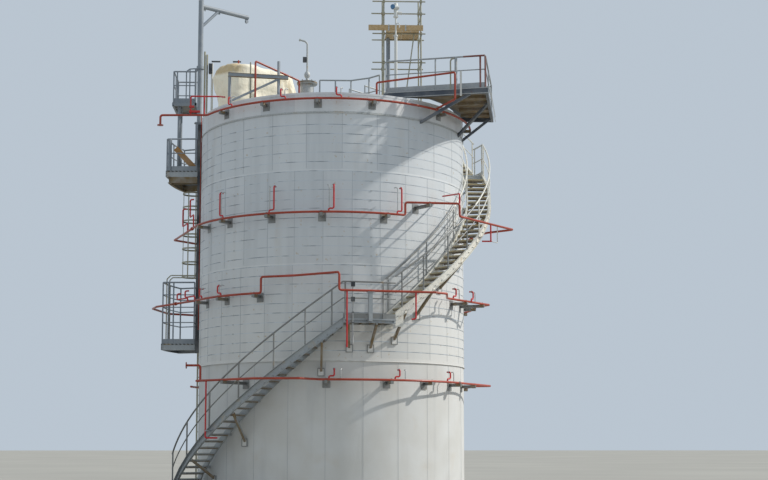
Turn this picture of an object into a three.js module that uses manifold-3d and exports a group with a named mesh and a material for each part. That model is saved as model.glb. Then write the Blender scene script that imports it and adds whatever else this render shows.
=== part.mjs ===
// Insulated cylindrical storage tank with a helical stair, ring mains, platforms and a swinging davit.
// Millimetres, +Z up. The origin is the centre of the plinth's underside, and the front faces -Y.
// An angle is in degrees round the tank's axis, from the front and growing towards +X.

import * as THREE from 'three';
import { mergeVertices } from 'three/addons/utils/BufferGeometryUtils.js';
import Module from 'manifold-3d';

const wasm = await Module();
wasm.setup();

// Driving dimensions

const SEAT = 0.3;
const FACET = 7.5;

const PLINTH_RADIUS = 4330;
const PLINTH_TOP = 300;
const SHELL_RADIUS = 4200;
const SHELL_THICKNESS = 200;
// Where a fastened piece starts, behind the wall's face, before it is trimmed to that face.
const IN_WALL = SHELL_RADIUS - 60;
const IN_ROOF = 11800;
const LOWER_BAND_RADIUS = 4185;
const LOWER_BAND_TOP = 4000;
const FASCIA_BOTTOM = 11300;
const EAVE = 11880;
const ROOF_RISE = 420;
const ROOF_THICKNESS = 160;
const SHELL_SEGMENTS = 6;

const RISER = 190;
const TREAD_ANGLE = 2.95;
const TREAD_THICKNESS = 30;
const STAIR_INNER = 4300;
const STAIR_OUTER = 5100;
const CHANNEL_WIDTH = 70;
const CHANNEL_PLATE = 12;
const INNER_STRINGER = 46;
const STRINGER_RISE = 30;
const STRINGER_DEPTH = 250;
const LANDING_START = 3.5;
const LANDING_END = 21;
const LANDING_LEVEL = 27 * RISER;
const REST_LEVEL = LANDING_LEVEL + 28 * RISER;
const REST_START = LANDING_END + 27 * TREAD_ANGLE;
const REST_END = 110;
const ROOF_LANDING_LEVEL = REST_LEVEL + 8 * RISER;
const ROOF_LANDING_START = REST_END + 7 * TREAD_ANGLE;
const ROOF_LANDING_END = 143;
const FLOOR_THICKNESS = 40;
const BEAM_DEPTH = 200;
const LANDING_DEPTH = 120;
const STRUT = 60;
const MAIN_POST = 110;
const SADDLE = 200;
const STRUT_DROP = 200;
const TIE_DROP = 120;
const PAD = { depth: 35, width: 190, height: 230 };
const TIE = 80;

const RAIL_DIAMETER = 42;
const POST_DIAMETER = 46;
const RAIL_HEIGHT = 1050;
const MID_RAIL_HEIGHT = 580;
const TOE_HEIGHT = 150;
const PLATE = 8;
const RAIL_RADIUS = STAIR_OUTER - 35;
const INNER_RAIL_RADIUS = STAIR_INNER + CHANNEL_WIDTH - INNER_STRINGER / 2;

const MAIN_SIDES = 6;
const MAIN_DIAMETER = 68;
const BRANCH_DIAMETER = 48;
const MAIN_RADIUS = 4550;
const LOWER_MAIN = 3430;
const MIDDLE_MAIN = 5950;
const MIDDLE_MAIN_OUTSIDE = 5910;
const UPPER_MAIN = 8270;
const TOP_MAIN = 11650;
const TOP_MAIN_RADIUS = 4450;
const ROOF_PIPE_DIAMETER = 60;
const BRACKET = 90;
const SPLIT = 82.5;
const AFTER_TIP = 90;

const PLATFORM_START = -92;
const PLATFORM_END = -112;
const PLATFORM_INNER = 4370;
const LADDER_ANGLE = -105;
const LADDER_RADIUS = 4420;
const LADDER_WIDTH = 450;
const RUNG_PITCH = 300;
const LOWER_PLATFORM = {
  level: 4780, outer: 5450, rails: [680, 1170, 1570, 1970],
  uprights: [180, 340], upright: POST_DIAMETER, girder: 0,
};
const UPPER_PLATFORM = {
  level: 10390, outer: 5400, rails: [MID_RAIL_HEIGHT, RAIL_HEIGHT], uprights: [90], upright: 120, girder: 200,
};
const HIGH_PLATFORM = { level: 12800, left: -5300, right: -4500, front: 780, back: 2200 };
const CAGE_BOTTOM = 7050;
const CAGE_TOP = 9810;
const CAGE_RADIUS = 350;

const MAST = { x: -4370, y: 540, diameter: 170, bottom: 10700, top: 16200 };
const COLLAR_LEVEL = 13900;
const SOCKET = { bottom: 10600, top: 12050, diameter: 260 };
const JIB = { level: 16000, reach: 1885, angle: 128.8, diameter: 150, braceFoot: 15310, braceReach: 700 };
const RUNNING_GAP = 6;

const HIGH_WALKWAY = { top: 12130, depth: 170, rail: 1000, toe: 190 };
const ROOF_WALKWAY = { angle: 138, level: 12340, inner: 950, outer: 4150, width: 760, depth: 30 };
const SCAFFOLD = {
  left: 1560, right: 2710, front: -2500, middle: -1820, back: -1300, top: 15600, tube: 48, deck: 14225,
};

// Materials

function finish(colour, roughness, metalness) {
  return new THREE.MeshStandardMaterial({ color: colour, roughness, metalness, flatShading: true });
}

const CLADDING = finish(0xc4c6c6, 0.6, 0.3);
const CONCRETE = finish(0xa8a49a, 0.9, 0);
const GALVANISED = finish(0x8a8f96, 0.5, 0.8);
const BLUE_GREY = finish(0x747e88, 0.55, 0.4);
const RED = finish(0xa83228, 0.45, 0.1);
const TARPAULIN = finish(0xd8cdb0, 0.8, 0);
const TIMBER = finish(0xb08a55, 0.85, 0);
const WHITE = finish(0xd8d8d2, 0.5, 0.1);

// Helpers

function radians(degrees) {
  return THREE.MathUtils.degToRad(degrees);
}

function degrees(value) {
  return THREE.MathUtils.radToDeg(value);
}

function point(x, y, z) {
  return new THREE.Vector3(x, y, z);
}

function polar(radius, angle, z) {
  return point(radius * Math.sin(radians(angle)), -radius * Math.cos(radians(angle)), z);
}

function enclosedVolume(place, index) {
  const corner = [0, 1, 2].map(() => new THREE.Vector3());
  let total = 0;
  for (let i = 0; i < index.length; i += 3) {
    corner.forEach((each, k) => each.fromArray(place, 3 * index[i + k]));
    total += corner[0].dot(corner[1].clone().cross(corner[2]));
  }
  return total;
}

// A closed geometry as a solid that can be joined and cut, with its faces turned outward.
function solid(geometry) {
  geometry.deleteAttribute('normal');
  geometry.deleteAttribute('uv');
  const merged = mergeVertices(geometry, 0.002);
  const place = Float32Array.from(merged.attributes.position.array);
  const index = [];
  for (let i = 0; i < merged.index.count; i += 3) {
    const [a, b, c] = [0, 1, 2].map((k) => merged.index.getX(i + k));
    if (a !== b && b !== c && c !== a) index.push(a, b, c);
  }
  if (enclosedVolume(place, index) < 0) index.reverse();
  const mesh = new wasm.Mesh({ numProp: 3, vertProperties: place, triVerts: Uint32Array.from(index) });
  return new wasm.Manifold(mesh);
}

function join(...parts) {
  return parts.flat(Infinity).reduce((whole, part) => whole.add(part));
}

// An outline of (radius, height) points swept round the tank's axis, with a height that may change.
function sweep(outline, from, to, { lift = () => 0, step = FACET, round = 2 } = {}) {
  const shape = Array.isArray(outline)
    ? new THREE.Shape(outline.map(([radius, z]) => new THREE.Vector2(radius, z)))
    : outline;
  const steps = Math.max(1, Math.round(Math.abs(to - from) / step));
  const geometry = new THREE.ExtrudeGeometry(shape, {
    depth: to - from, steps, bevelEnabled: false, curveSegments: round,
  });
  const place = geometry.attributes.position;
  for (let i = 0; i < place.count; i++) {
    const angle = from + place.getZ(i);
    const spot = polar(place.getX(i), angle, place.getY(i) + lift(angle));
    place.setXYZ(i, spot.x, spot.y, spot.z);
  }
  return solid(geometry);
}

function sector(inner, outer, from, to, bottom, top, options) {
  return sweep([[inner, bottom], [outer, bottom], [outer, top], [inner, top]], from, to, options);
}

// A full ring or disc: its outline closes on itself or starts and ends on the axis.
function turned(outline, sides = 360 / FACET, at = point(0, 0, 0)) {
  const profile = outline.map(([radius, z]) => new THREE.Vector2(radius, z));
  const geometry = new THREE.LatheGeometry(profile, sides);
  geometry.rotateX(Math.PI / 2);
  geometry.translate(at.x, at.y, at.z);
  return solid(geometry);
}

function circle(radius, z, diameter) {
  return new THREE.Shape().absarc(radius, z, diameter / 2, 0, 2 * Math.PI);
}

// A round tube that follows the wall.
function hoop(radius, z, diameter, from, to, { sides = 4, ...options } = {}) {
  return sweep(circle(radius, z, diameter), from, to, { round: sides / 2, ...options });
}

function rod(from, to, diameter, sides = 8) {
  const geometry = new THREE.CylinderGeometry(diameter / 2, diameter / 2, from.distanceTo(to), sides);
  const along = to.clone().sub(from).normalize();
  geometry.applyQuaternion(new THREE.Quaternion().setFromUnitVectors(point(0, 1, 0), along));
  const middle = from.clone().lerp(to, 0.5);
  return solid(geometry.translate(middle.x, middle.y, middle.z));
}

function post(x, y, bottom, top, diameter, sides = 8) {
  return rod(point(x, y, bottom), point(x, y, top), diameter, sides);
}

// A rectangular bar, with its height in the upright plane along it.
function bar(from, to, width, height, upright = point(0, 0, 1)) {
  const along = to.clone().sub(from).normalize();
  const side = upright.clone().cross(along).normalize();
  const up = along.clone().cross(side);
  const geometry = new THREE.BoxGeometry(width, height, from.distanceTo(to));
  geometry.applyMatrix4(new THREE.Matrix4().makeBasis(side, up, along));
  const middle = from.clone().lerp(to, 0.5);
  return solid(geometry.translate(middle.x, middle.y, middle.z));
}

// A level bar that points straight out from the tank's axis.
function outward(angle, [from, to], z, width, height) {
  return bar(polar(from, angle, z), polar(to, angle, z), width, height);
}

// An upright rod at a place round the tank.
function polarPost(radius, angle, bottom, top, diameter, sides) {
  return rod(polar(radius, angle, bottom), polar(radius, angle, top), diameter, sides);
}

function box(left, right, front, back, bottom, top) {
  const geometry = new THREE.BoxGeometry(right - left, back - front, top - bottom);
  return solid(geometry.translate((left + right) / 2, (front + back) / 2, (bottom + top) / 2));
}

function prism(outline, bottom, top) {
  const shape = new THREE.Shape(outline.map(([x, y]) => new THREE.Vector2(x, y)));
  const geometry = new THREE.ExtrudeGeometry(shape, { depth: top - bottom, bevelEnabled: false });
  return solid(geometry.translate(0, 0, bottom));
}

// An outline of [across, up] points carried along straight lengths, with a mitre at each corner.
function mitred(points, outline, upright = point(0, 0, 1)) {
  const runs = points.slice(1).map((end, i) => end.clone().sub(points[i]).normalize());
  const side = upright.clone().cross(runs[0]);
  if (side.length() < 0.01) side.set(1, 0, 0);
  side.normalize();
  const turn = new THREE.Quaternion();
  const rings = points.map((corner, i) => {
    const before = runs[Math.max(i - 1, 0)];
    const after = runs[Math.min(i, runs.length - 1)];
    const cut = before.clone().add(after).normalize();
    const up = before.clone().cross(side);
    const ring = outline.map(([across, height]) => {
      const spot = side.clone().multiplyScalar(across).addScaledVector(up, height);
      spot.addScaledVector(before, -spot.dot(cut) / before.dot(cut));
      return spot.add(corner);
    });
    side.applyQuaternion(turn.setFromUnitVectors(before, after));
    return ring;
  });
  return tubeOfRings(rings);
}

// A closed tube through rings of like length, with a flat cap at each end.
function tubeOfRings(rings) {
  const count = rings[0].length;
  const place = rings.flat().flatMap((spot) => spot.toArray());
  const index = [];
  for (let i = 0; i < rings.length - 1; i++) {
    for (let k = 0; k < count; k++) {
      const a = i * count + k;
      const b = i * count + (k + 1) % count;
      index.push(a, b, b + count, a, b + count, a + count);
    }
  }
  const last = (rings.length - 1) * count;
  for (let k = 1; k < count - 1; k++) {
    index.push(0, k + 1, k, last, last + k, last + k + 1);
  }
  const geometry = new THREE.BufferGeometry();
  geometry.setAttribute('position', new THREE.Float32BufferAttribute(place, 3));
  geometry.setIndex(index);
  return solid(geometry);
}

function polygon(diameter, sides) {
  return Array.from({ length: sides }, (_, i) => {
    const angle = 2 * Math.PI * (i + 0.5) / sides;
    return [diameter / 2 * Math.cos(angle), diameter / 2 * Math.sin(angle)];
  });
}

function pipe(points, diameter, sides = MAIN_SIDES) {
  return mitred(points, polygon(diameter, sides));
}

function arcPoints(radius, from, to, z) {
  const count = Math.max(2, Math.round(Math.abs(to - from) / FACET) + 1);
  return spaced(from, to, count).map((angle) => polar(radius, angle, z));
}

const model = new THREE.Group();

function node(name, shape, material) {
  const mesh = shape.getMesh();
  const geometry = new THREE.BufferGeometry();
  geometry.setAttribute('position', new THREE.BufferAttribute(mesh.vertProperties, 3));
  geometry.setIndex(new THREE.BufferAttribute(mesh.triVerts, 1));
  geometry.computeVertexNormals();
  const part = new THREE.Mesh(geometry, material);
  part.name = name;
  model.add(part);
}

// Tank

const SHELL_OUTLINE = [
  [LOWER_BAND_RADIUS, PLINTH_TOP + SEAT],
  [LOWER_BAND_RADIUS, LOWER_BAND_TOP],
  [SHELL_RADIUS, LOWER_BAND_TOP],
  [SHELL_RADIUS, FASCIA_BOTTOM - SEAT],
  [SHELL_RADIUS - SHELL_THICKNESS, FASCIA_BOTTOM - SEAT],
  [SHELL_RADIUS - SHELL_THICKNESS, PLINTH_TOP + SEAT],
];

// The tank's outside with a thin clearance, which trims whatever is fastened to it.
const TANK_CLEARANCE = turned([
  [0, -500],
  [PLINTH_RADIUS + SEAT, -500],
  [PLINTH_RADIUS + SEAT, PLINTH_TOP + SEAT],
  [LOWER_BAND_RADIUS + SEAT, PLINTH_TOP + SEAT],
  [LOWER_BAND_RADIUS + SEAT, LOWER_BAND_TOP - SEAT],
  [SHELL_RADIUS + SEAT, LOWER_BAND_TOP - SEAT],
  [SHELL_RADIUS + SEAT, EAVE + SEAT],
  [0, EAVE + ROOF_RISE + SEAT],
]);

function seatOnTank(shape) {
  return shape.subtract(TANK_CLEARANCE);
}

function buildTank() {
  const plinth = [[0, 0], [PLINTH_RADIUS, 0], [PLINTH_RADIUS, PLINTH_TOP], [0, PLINTH_TOP]];
  node('foundation_plinth', turned(plinth), CONCRETE);
  const span = 360 / SHELL_SEGMENTS;
  const seam = degrees(SEAT / SHELL_RADIUS);
  for (let i = 0; i < SHELL_SEGMENTS; i++) {
    const from = -90 + i * span;
    node(`shell_segment_${i + 1}`, sweep(SHELL_OUTLINE, from, from + span - seam), CLADDING);
  }
  const inner = SHELL_RADIUS - SHELL_THICKNESS;
  const fascia = turned([
    [inner, FASCIA_BOTTOM],
    [SHELL_RADIUS, FASCIA_BOTTOM],
    [SHELL_RADIUS, EAVE - SEAT],
    [inner, EAVE - SEAT],
    [inner, FASCIA_BOTTOM],
  ]);
  node('top_fascia', fascia, CLADDING);
  const roof = turned([
    [0, EAVE + ROOF_RISE - ROOF_THICKNESS],
    [inner - 40, EAVE],
    [SHELL_RADIUS, EAVE],
    [0, EAVE + ROOF_RISE],
  ]);
  node('roof', roof, CLADDING);
}

// Stair

const LOWER_FLIGHT = { start: LANDING_START - 26 * TREAD_ANGLE, base: 0, treads: 26 };
const UPPER_FLIGHT = { start: LANDING_END, base: LANDING_LEVEL, treads: 27 };
const TOP_FLIGHT = { start: REST_END, base: REST_LEVEL, treads: 7 };
const END_GAP = 0.004;
const LOWER_SPAN = [LOWER_FLIGHT.start - 1.5, LANDING_START - END_GAP];
const UPPER_SPLICE = UPPER_FLIGHT.start + 13 * TREAD_ANGLE;
const UPPER_SPAN_1 = [UPPER_FLIGHT.start + END_GAP, UPPER_SPLICE - END_GAP];
const UPPER_SPAN_2 = [UPPER_SPLICE + END_GAP, REST_START - END_GAP];
const TOP_SPAN = [TOP_FLIGHT.start + END_GAP, ROOF_LANDING_START - END_GAP];

// Each strut's angle at the stringer, its angle at the wall and its drop between them.
const UPPER_STRUTS_1 = [[24.8, 25.5, 770], [36, 36.5, 720], [50, 50, 770]];
const UPPER_STRUTS_2 = [[65, 65, 770], [79, 79, 770], [93, 93, 770]];

function nosingLine({ start, base }) {
  return (angle) => base + RISER * (1 + (angle - start) / TREAD_ANGLE);
}

// A channel standing on edge between two radii, with its web on the tread side.
function channelOutline(web, toe, bottom, top) {
  const plate = Math.sign(toe - web) * CHANNEL_PLATE;
  return [
    [web, bottom], [toe, bottom], [toe, bottom + CHANNEL_PLATE], [web + plate, bottom + CHANNEL_PLATE],
    [web + plate, top - CHANNEL_PLATE], [toe, top - CHANNEL_PLATE], [toe, top], [web, top],
  ];
}

const OUTER_WEB = STAIR_OUTER - CHANNEL_WIDTH;
const INNER_WEB = STAIR_INNER + CHANNEL_WIDTH;

function stringers(flight, [from, to]) {
  const lift = nosingLine(flight);
  const bottom = STRINGER_RISE - STRINGER_DEPTH;
  const step = 2 * TREAD_ANGLE;
  return [
    sweep(channelOutline(OUTER_WEB, STAIR_OUTER, bottom, STRINGER_RISE), from, to, { lift, step }),
    sector(INNER_WEB - INNER_STRINGER, INNER_WEB, from, to, bottom, STRINGER_RISE, { lift, step }),
  ];
}

function treads(flight, first, last) {
  const made = [];
  for (let i = first; i < last; i++) {
    const angle = flight.start + i * TREAD_ANGLE;
    const top = flight.base + (i + 1) * RISER;
    const back = angle + TREAD_ANGLE - END_GAP;
    made.push(sector(INNER_WEB - 4, OUTER_WEB + 4, angle + END_GAP, back, top - TREAD_THICKNESS, top));
  }
  return made;
}

// Plates that carry a flight's foot down to the beam of the landing below it.
function footPlates({ start, base }) {
  const from = start + END_GAP;
  const to = start + TREAD_ANGLE;
  return [
    sector(OUTER_WEB, OUTER_WEB + CHANNEL_PLATE, from, to, base - BEAM_DEPTH, base + RISER),
    sector(INNER_WEB - CHANNEL_PLATE, INNER_WEB, from, to, base - BEAM_DEPTH, base + RISER),
  ];
}

// A strut from under the outer stringer to a pad frame on the wall.
function strut(angle, top, wallAngle, wallLevel) {
  const outer = polar(STAIR_OUTER - 45, angle, top);
  const wall = polar(IN_WALL, wallAngle, wallLevel);
  const pad = outward(wallAngle, [IN_WALL, SHELL_RADIUS + PAD.depth], wallLevel, PAD.width, PAD.height);
  return [bar(outer, wall, STRUT, STRUT), pad];
}

// A short tie from the inner stringer to the wall.
function tie(angle, level) {
  return outward(angle, [IN_WALL, INNER_WEB - 6], level, TIE, TIE);
}

function buildLowerFlight() {
  const line = nosingLine(LOWER_FLIGHT);
  const parts = [
    stringers(LOWER_FLIGHT, LOWER_SPAN),
    treads(LOWER_FLIGHT, 0, LOWER_FLIGHT.treads),
    strut(-34, line(-34) - STRUT_DROP, -36.7, 1640),
    strut(-3.2, line(-3.2) - STRUT_DROP, -4.2, 3650),
    strut(-55, line(-55) - STRUT_DROP, -55.5, 560),
    [-60, -45, -30, -15, 0].map((angle) => tie(angle, line(angle) - TIE_DROP)),
    outward(-43.8, [OUTER_WEB + 4, 5238 - SEAT], 1985, 40, 40),
  ];
  const below = box(-6000, 6000, -6000, 6000, -900, 0);
  node('stair_lower_flight', seatOnTank(join(parts).subtract(below)), GALVANISED);
}

// A level landing: grating, an edge beam on each side and a beam at each end.
function landing(from, to, level) {
  const top = level - FLOOR_THICKNESS;
  const bottom = level - LANDING_DEPTH;
  const middle = (top + bottom) / 2;
  const ends = [from + 0.4, to - 0.4].map((angle) => {
    return outward(angle, [STAIR_INNER + 20, STAIR_OUTER - 20], middle, 56, top - bottom + 4);
  });
  return [
    sector(STAIR_INNER, STAIR_OUTER, from, to, top, level, { step: 6 }),
    sweep(channelOutline(OUTER_WEB, STAIR_OUTER, bottom, level), from, to, { step: 6 }),
    sector(INNER_WEB - CHANNEL_PLATE, INNER_WEB, from, to, bottom, top + 10, { step: 6 }),
    ends,
  ];
}

// The straight length of the middle main that passes in front of the landing.
const MIDDLE_MAIN_PASS = [point(200, -5300, MIDDLE_MAIN_OUTSIDE), point(2960, -4750, MIDDLE_MAIN_OUTSIDE)];

// A post on a stub beam outside the landing, with a saddle under the middle main.
function mainPost() {
  const top = MIDDLE_MAIN_PASS[0].clone().lerp(MIDDLE_MAIN_PASS[1], 0.32);
  const angle = degrees(Math.atan2(top.x, -top.y));
  const reach = Math.hypot(top.x, top.y);
  const stub = LANDING_LEVEL - 60;
  const saddle = MIDDLE_MAIN_OUTSIDE - MAIN_DIAMETER / 2 - SEAT;
  const foot = polar(reach, angle, stub - STRUT / 2);
  return [
    outward(angle, [OUTER_WEB + 5, reach], stub, MAIN_POST, STRUT),
    bar(foot, polar(reach, angle, saddle), MAIN_POST, MAIN_POST, polar(1, angle, 0)),
    outward(angle, [reach - SADDLE / 2, reach + SADDLE / 2], saddle - PLATE / 2, SADDLE, PLATE),
  ];
}

function buildLanding() {
  const under = LANDING_LEVEL - LANDING_DEPTH + 10;
  const parts = [
    landing(LANDING_START, LANDING_END - END_GAP, LANDING_LEVEL),
    strut(5.3, under, 6.8, 4340),
    strut(14.6, under, 15.3, 4340),
    [6, 18].map((angle) => tie(angle, LANDING_LEVEL - TIE_DROP)),
    mainPost(),
  ];
  node('stair_landing', seatOnTank(join(parts)), GALVANISED);
}

function buildUpperPart(name, span, [first, last], struts) {
  const line = nosingLine(UPPER_FLIGHT);
  const parts = [
    stringers(UPPER_FLIGHT, span),
    treads(UPPER_FLIGHT, first, last),
    struts.map(([angle, wallAngle, drop]) => {
      const top = line(angle) - STRUT_DROP;
      return strut(angle, top, wallAngle, top - drop);
    }),
    struts.map(([angle]) => tie(angle + 1.5, line(angle + 1.5) - TIE_DROP)),
  ];
  if (first === 0) parts.push(footPlates(UPPER_FLIGHT));
  node(name, seatOnTank(join(parts)), GALVANISED);
}

function buildTopLandings() {
  const line = nosingLine(TOP_FLIGHT);
  const rest = [
    landing(REST_START, REST_END - END_GAP, REST_LEVEL),
    strut(105.3, REST_LEVEL - LANDING_DEPTH + 10, 105.3, REST_LEVEL - 900),
    [103, 108].map((angle) => tie(angle, REST_LEVEL - TIE_DROP)),
  ];
  node('stair_rest_landing', seatOnTank(join(rest)), GALVANISED);
  const flight = [
    stringers(TOP_FLIGHT, TOP_SPAN),
    treads(TOP_FLIGHT, 0, TOP_FLIGHT.treads),
    footPlates(TOP_FLIGHT),
    strut(120, line(120) - STRUT_DROP, 120, line(120) - 950),
    [116, 126].map((angle) => tie(angle, line(angle) - TIE_DROP)),
  ];
  node('stair_top_flight', seatOnTank(join(flight)), GALVANISED);
  const level = ROOF_LANDING_LEVEL;
  const bridge = [ROOF_LANDING_START + 0.5, ROOF_LANDING_END - 0.5];
  const roofLanding = [
    landing(ROOF_LANDING_START, ROOF_LANDING_END, level),
    sector(SHELL_RADIUS - 80, STAIR_INNER + 10, ...bridge, level - TREAD_THICKNESS, level),
    [133.5, 140.5].map((angle) => strut(angle, level - LANDING_DEPTH + 10, angle, level - 1000)),
    [134.5, 141.5].map((angle) => tie(angle, level - TIE_DROP)),
  ];
  node('stair_roof_landing', seatOnTank(join(roofLanding)), GALVANISED);
}

// Handrails

// Posts and two rails along part of a flight, with their feet trimmed to the stringer's top.
function flightRail(flight, [from, to], radius, postAngles, railFrom = from) {
  const line = nosingLine(flight);
  const options = { lift: line, step: 2 * TREAD_ANGLE };
  const web = radius > INNER_WEB ? [OUTER_WEB, STAIR_OUTER] : [INNER_WEB - INNER_STRINGER, INNER_WEB];
  const thickness = radius > INNER_WEB ? POST_DIAMETER : 0.75 * POST_DIAMETER;
  const bottom = STRINGER_RISE - STRINGER_DEPTH;
  const stringer = sector(web[0] - 1, web[1] + 1, from, to, bottom, STRINGER_RISE + SEAT, options);
  const parts = [
    hoop(radius, RAIL_HEIGHT, RAIL_DIAMETER, railFrom, to, options),
    hoop(radius, MID_RAIL_HEIGHT, RAIL_DIAMETER * 0.8, railFrom, to, options),
    postAngles.map((angle) => {
      const foot = polar(radius, angle, line(angle) - 60);
      return rod(foot, polar(radius, angle, line(angle) + RAIL_HEIGHT), thickness, 4);
    }),
  ];
  return join(parts).subtract(stringer);
}

// Two rails that point straight out from the tank's axis over a floor's level.
function sideRails(angle, [from, to], level) {
  return [RAIL_HEIGHT, MID_RAIL_HEIGHT].map((height) => {
    const z = level + height;
    return rod(polar(from, angle, z), polar(to, angle, z), RAIL_DIAMETER, 4);
  });
}

// Posts, two rails and a toe plate along the edge of a landing.
function landingRail(from, to, level, postAngles, radius = RAIL_RADIUS) {
  const options = { step: 6 };
  return [
    hoop(radius, level + RAIL_HEIGHT, RAIL_DIAMETER, from, to, options),
    hoop(radius, level + MID_RAIL_HEIGHT, RAIL_DIAMETER * 0.8, from, to, options),
    sector(radius - PLATE, radius, from, to, level + SEAT, level + TOE_HEIGHT, options),
    postAngles.map((angle) => railPost(radius, angle, level + SEAT, level)),
  ];
}

// A handrail post from its foot to the rail over a floor's level.
function railPost(radius, angle, foot, level) {
  return polarPost(radius, angle, foot, level + RAIL_HEIGHT, POST_DIAMETER, 4);
}

function spaced(from, to, count) {
  return Array.from({ length: count }, (_, i) => from + (to - from) * i / (count - 1));
}

function buildHandrails() {
  const lowerPosts = [-71.5, -57.5, -44.3, -31.7, -19, -8.6, -0.1];
  const lowerFrom = LOWER_FLIGHT.start + 1;
  const lower = flightRail(LOWER_FLIGHT, LOWER_SPAN, RAIL_RADIUS, lowerPosts, lowerFrom);
  node('handrail_lower', lower, GALVANISED);
  const landingFrom = LANDING_START + END_GAP;
  const landingTo = LANDING_END - END_GAP;
  const landingPosts = [4.2, 12.4, 20.3];
  const landingParts = landingRail(landingFrom, landingTo, LANDING_LEVEL, landingPosts);
  node('handrail_landing', join(landingParts), GALVANISED);
  [UPPER_SPAN_1, UPPER_SPAN_2].forEach((span, i) => {
    const posts = spaced(span[0] + 1, span[1] - 1, 4);
    node(`handrail_upper_${i + 1}`, flightRail(UPPER_FLIGHT, span, RAIL_RADIUS, posts), GALVANISED);
    node(`handrail_inner_${i + 1}`, flightRail(UPPER_FLIGHT, span, INNER_RAIL_RADIUS, posts), GALVANISED);
  });
  const restPosts = [REST_START + 1, REST_END - 1];
  const rest = landingRail(REST_START + END_GAP, REST_END - END_GAP, REST_LEVEL, restPosts);
  node('handrail_rest_landing', join(rest), GALVANISED);
  const topPosts = spaced(TOP_SPAN[0] + 1, TOP_SPAN[1] - 1, 3);
  node('handrail_top_flight', flightRail(TOP_FLIGHT, TOP_SPAN, RAIL_RADIUS, topPosts), GALVANISED);
  const level = ROOF_LANDING_LEVEL;
  const roofFrom = ROOF_LANDING_START + END_GAP;
  const roofTo = ROOF_LANDING_END - 0.6;
  const back = STAIR_INNER + 40;
  const roofRail = [
    landingRail(roofFrom, roofTo, level, [roofFrom + 1, roofTo]),
    sideRails(roofTo, [back, RAIL_RADIUS], level),
    railPost(back, roofTo, level + SEAT, level),
  ];
  node('handrail_roof_landing', join(roofRail), GALVANISED);
}

// Ring mains

// A stub beam from the wall that carries the main.
function pipeBracket(angle, level, reach = MAIN_RADIUS + 60) {
  const z = level - MAIN_DIAMETER / 2 - BRACKET / 2 + 8;
  return outward(angle, [IN_WALL, reach], z, BRACKET, BRACKET);
}

// A riser from the main with a short nozzle that points at the wall.
function spray(angle, level, radius = MAIN_RADIUS, rise = 800) {
  const top = level + rise;
  return [
    polarPost(radius, angle, level, top + 12, BRANCH_DIAMETER, 4),
    rod(polar(radius, angle, top), polar(radius - 130, angle, top + 30), BRANCH_DIAMETER * 0.8, 4),
  ];
}

// A flat flange on the end of a pipe, between two points.
function flange(from, to, diameter = 190) {
  return rod(from, to, diameter, 12);
}

// Where a ring main's front and rear parts meet, halfway along one straight length.
function ringCut(level, angle = SPLIT) {
  return cutAcross(polar(MAIN_RADIUS, angle, level), polar(MAIN_RADIUS, angle + FACET, level), 0.5);
}

// The two facing ends of a cut across a straight length, with a thin gap between them.
function cutAcross(from, to, share) {
  const middle = from.clone().lerp(to, share);
  const along = to.clone().sub(from).setLength(SEAT / 2);
  return [middle.clone().sub(along), middle.clone().add(along)];
}

function buildLowerMain() {
  const z = LOWER_MAIN;
  const riserTop = 3890;
  const feed = point(-4250, -3300, riserTop);
  const split = ringCut(z, AFTER_TIP);
  const route = [
    feed, point(-3850, -3300, riserTop), point(-3850, -3300, z), point(-3980, -3420, z),
    point(-2200, -5050, z), point(-900, -5220, z), point(-350, -4560, z),
    ...arcPoints(MAIN_RADIUS, 0, 52.5, z), point(5050, -200, z), polar(MAIN_RADIUS, AFTER_TIP, z), split[0],
  ];
  const drainBottom = 1776;
  const drain = [point(-3640, -3731, z), point(-3640, -3731, drainBottom), point(-3290, -3731, drainBottom)];
  const front = [
    pipe(route, MAIN_DIAMETER),
    flange(feed, point(-4275, -3300, riserTop)),
    pipe(drain, BRANCH_DIAMETER, 6),
    [-2.1, 22.2, 40.3, 58].map((angle) => pipeBracket(angle, z)),
    pipeBracket(73, z, 4668),
    [0.9, 25.6, 51].map((angle) => spray(angle, z, MAIN_RADIUS, 300)),
    pipeBracket(-36.6, z, 5300),
  ];
  node('ring_main_lower_front', seatOnTank(join(front)), RED);
  const rear = [
    pipe([split[1], ...arcPoints(MAIN_RADIUS, AFTER_TIP + FACET, 262.5, z)], MAIN_DIAMETER),
    [105, 145, 190, 235].map((angle) => pipeBracket(angle, z)),
    [120, 200].map((angle) => spray(angle, z, MAIN_RADIUS, 300)),
  ];
  node('ring_main_lower_rear', seatOnTank(join(rear)), RED);
}

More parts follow.
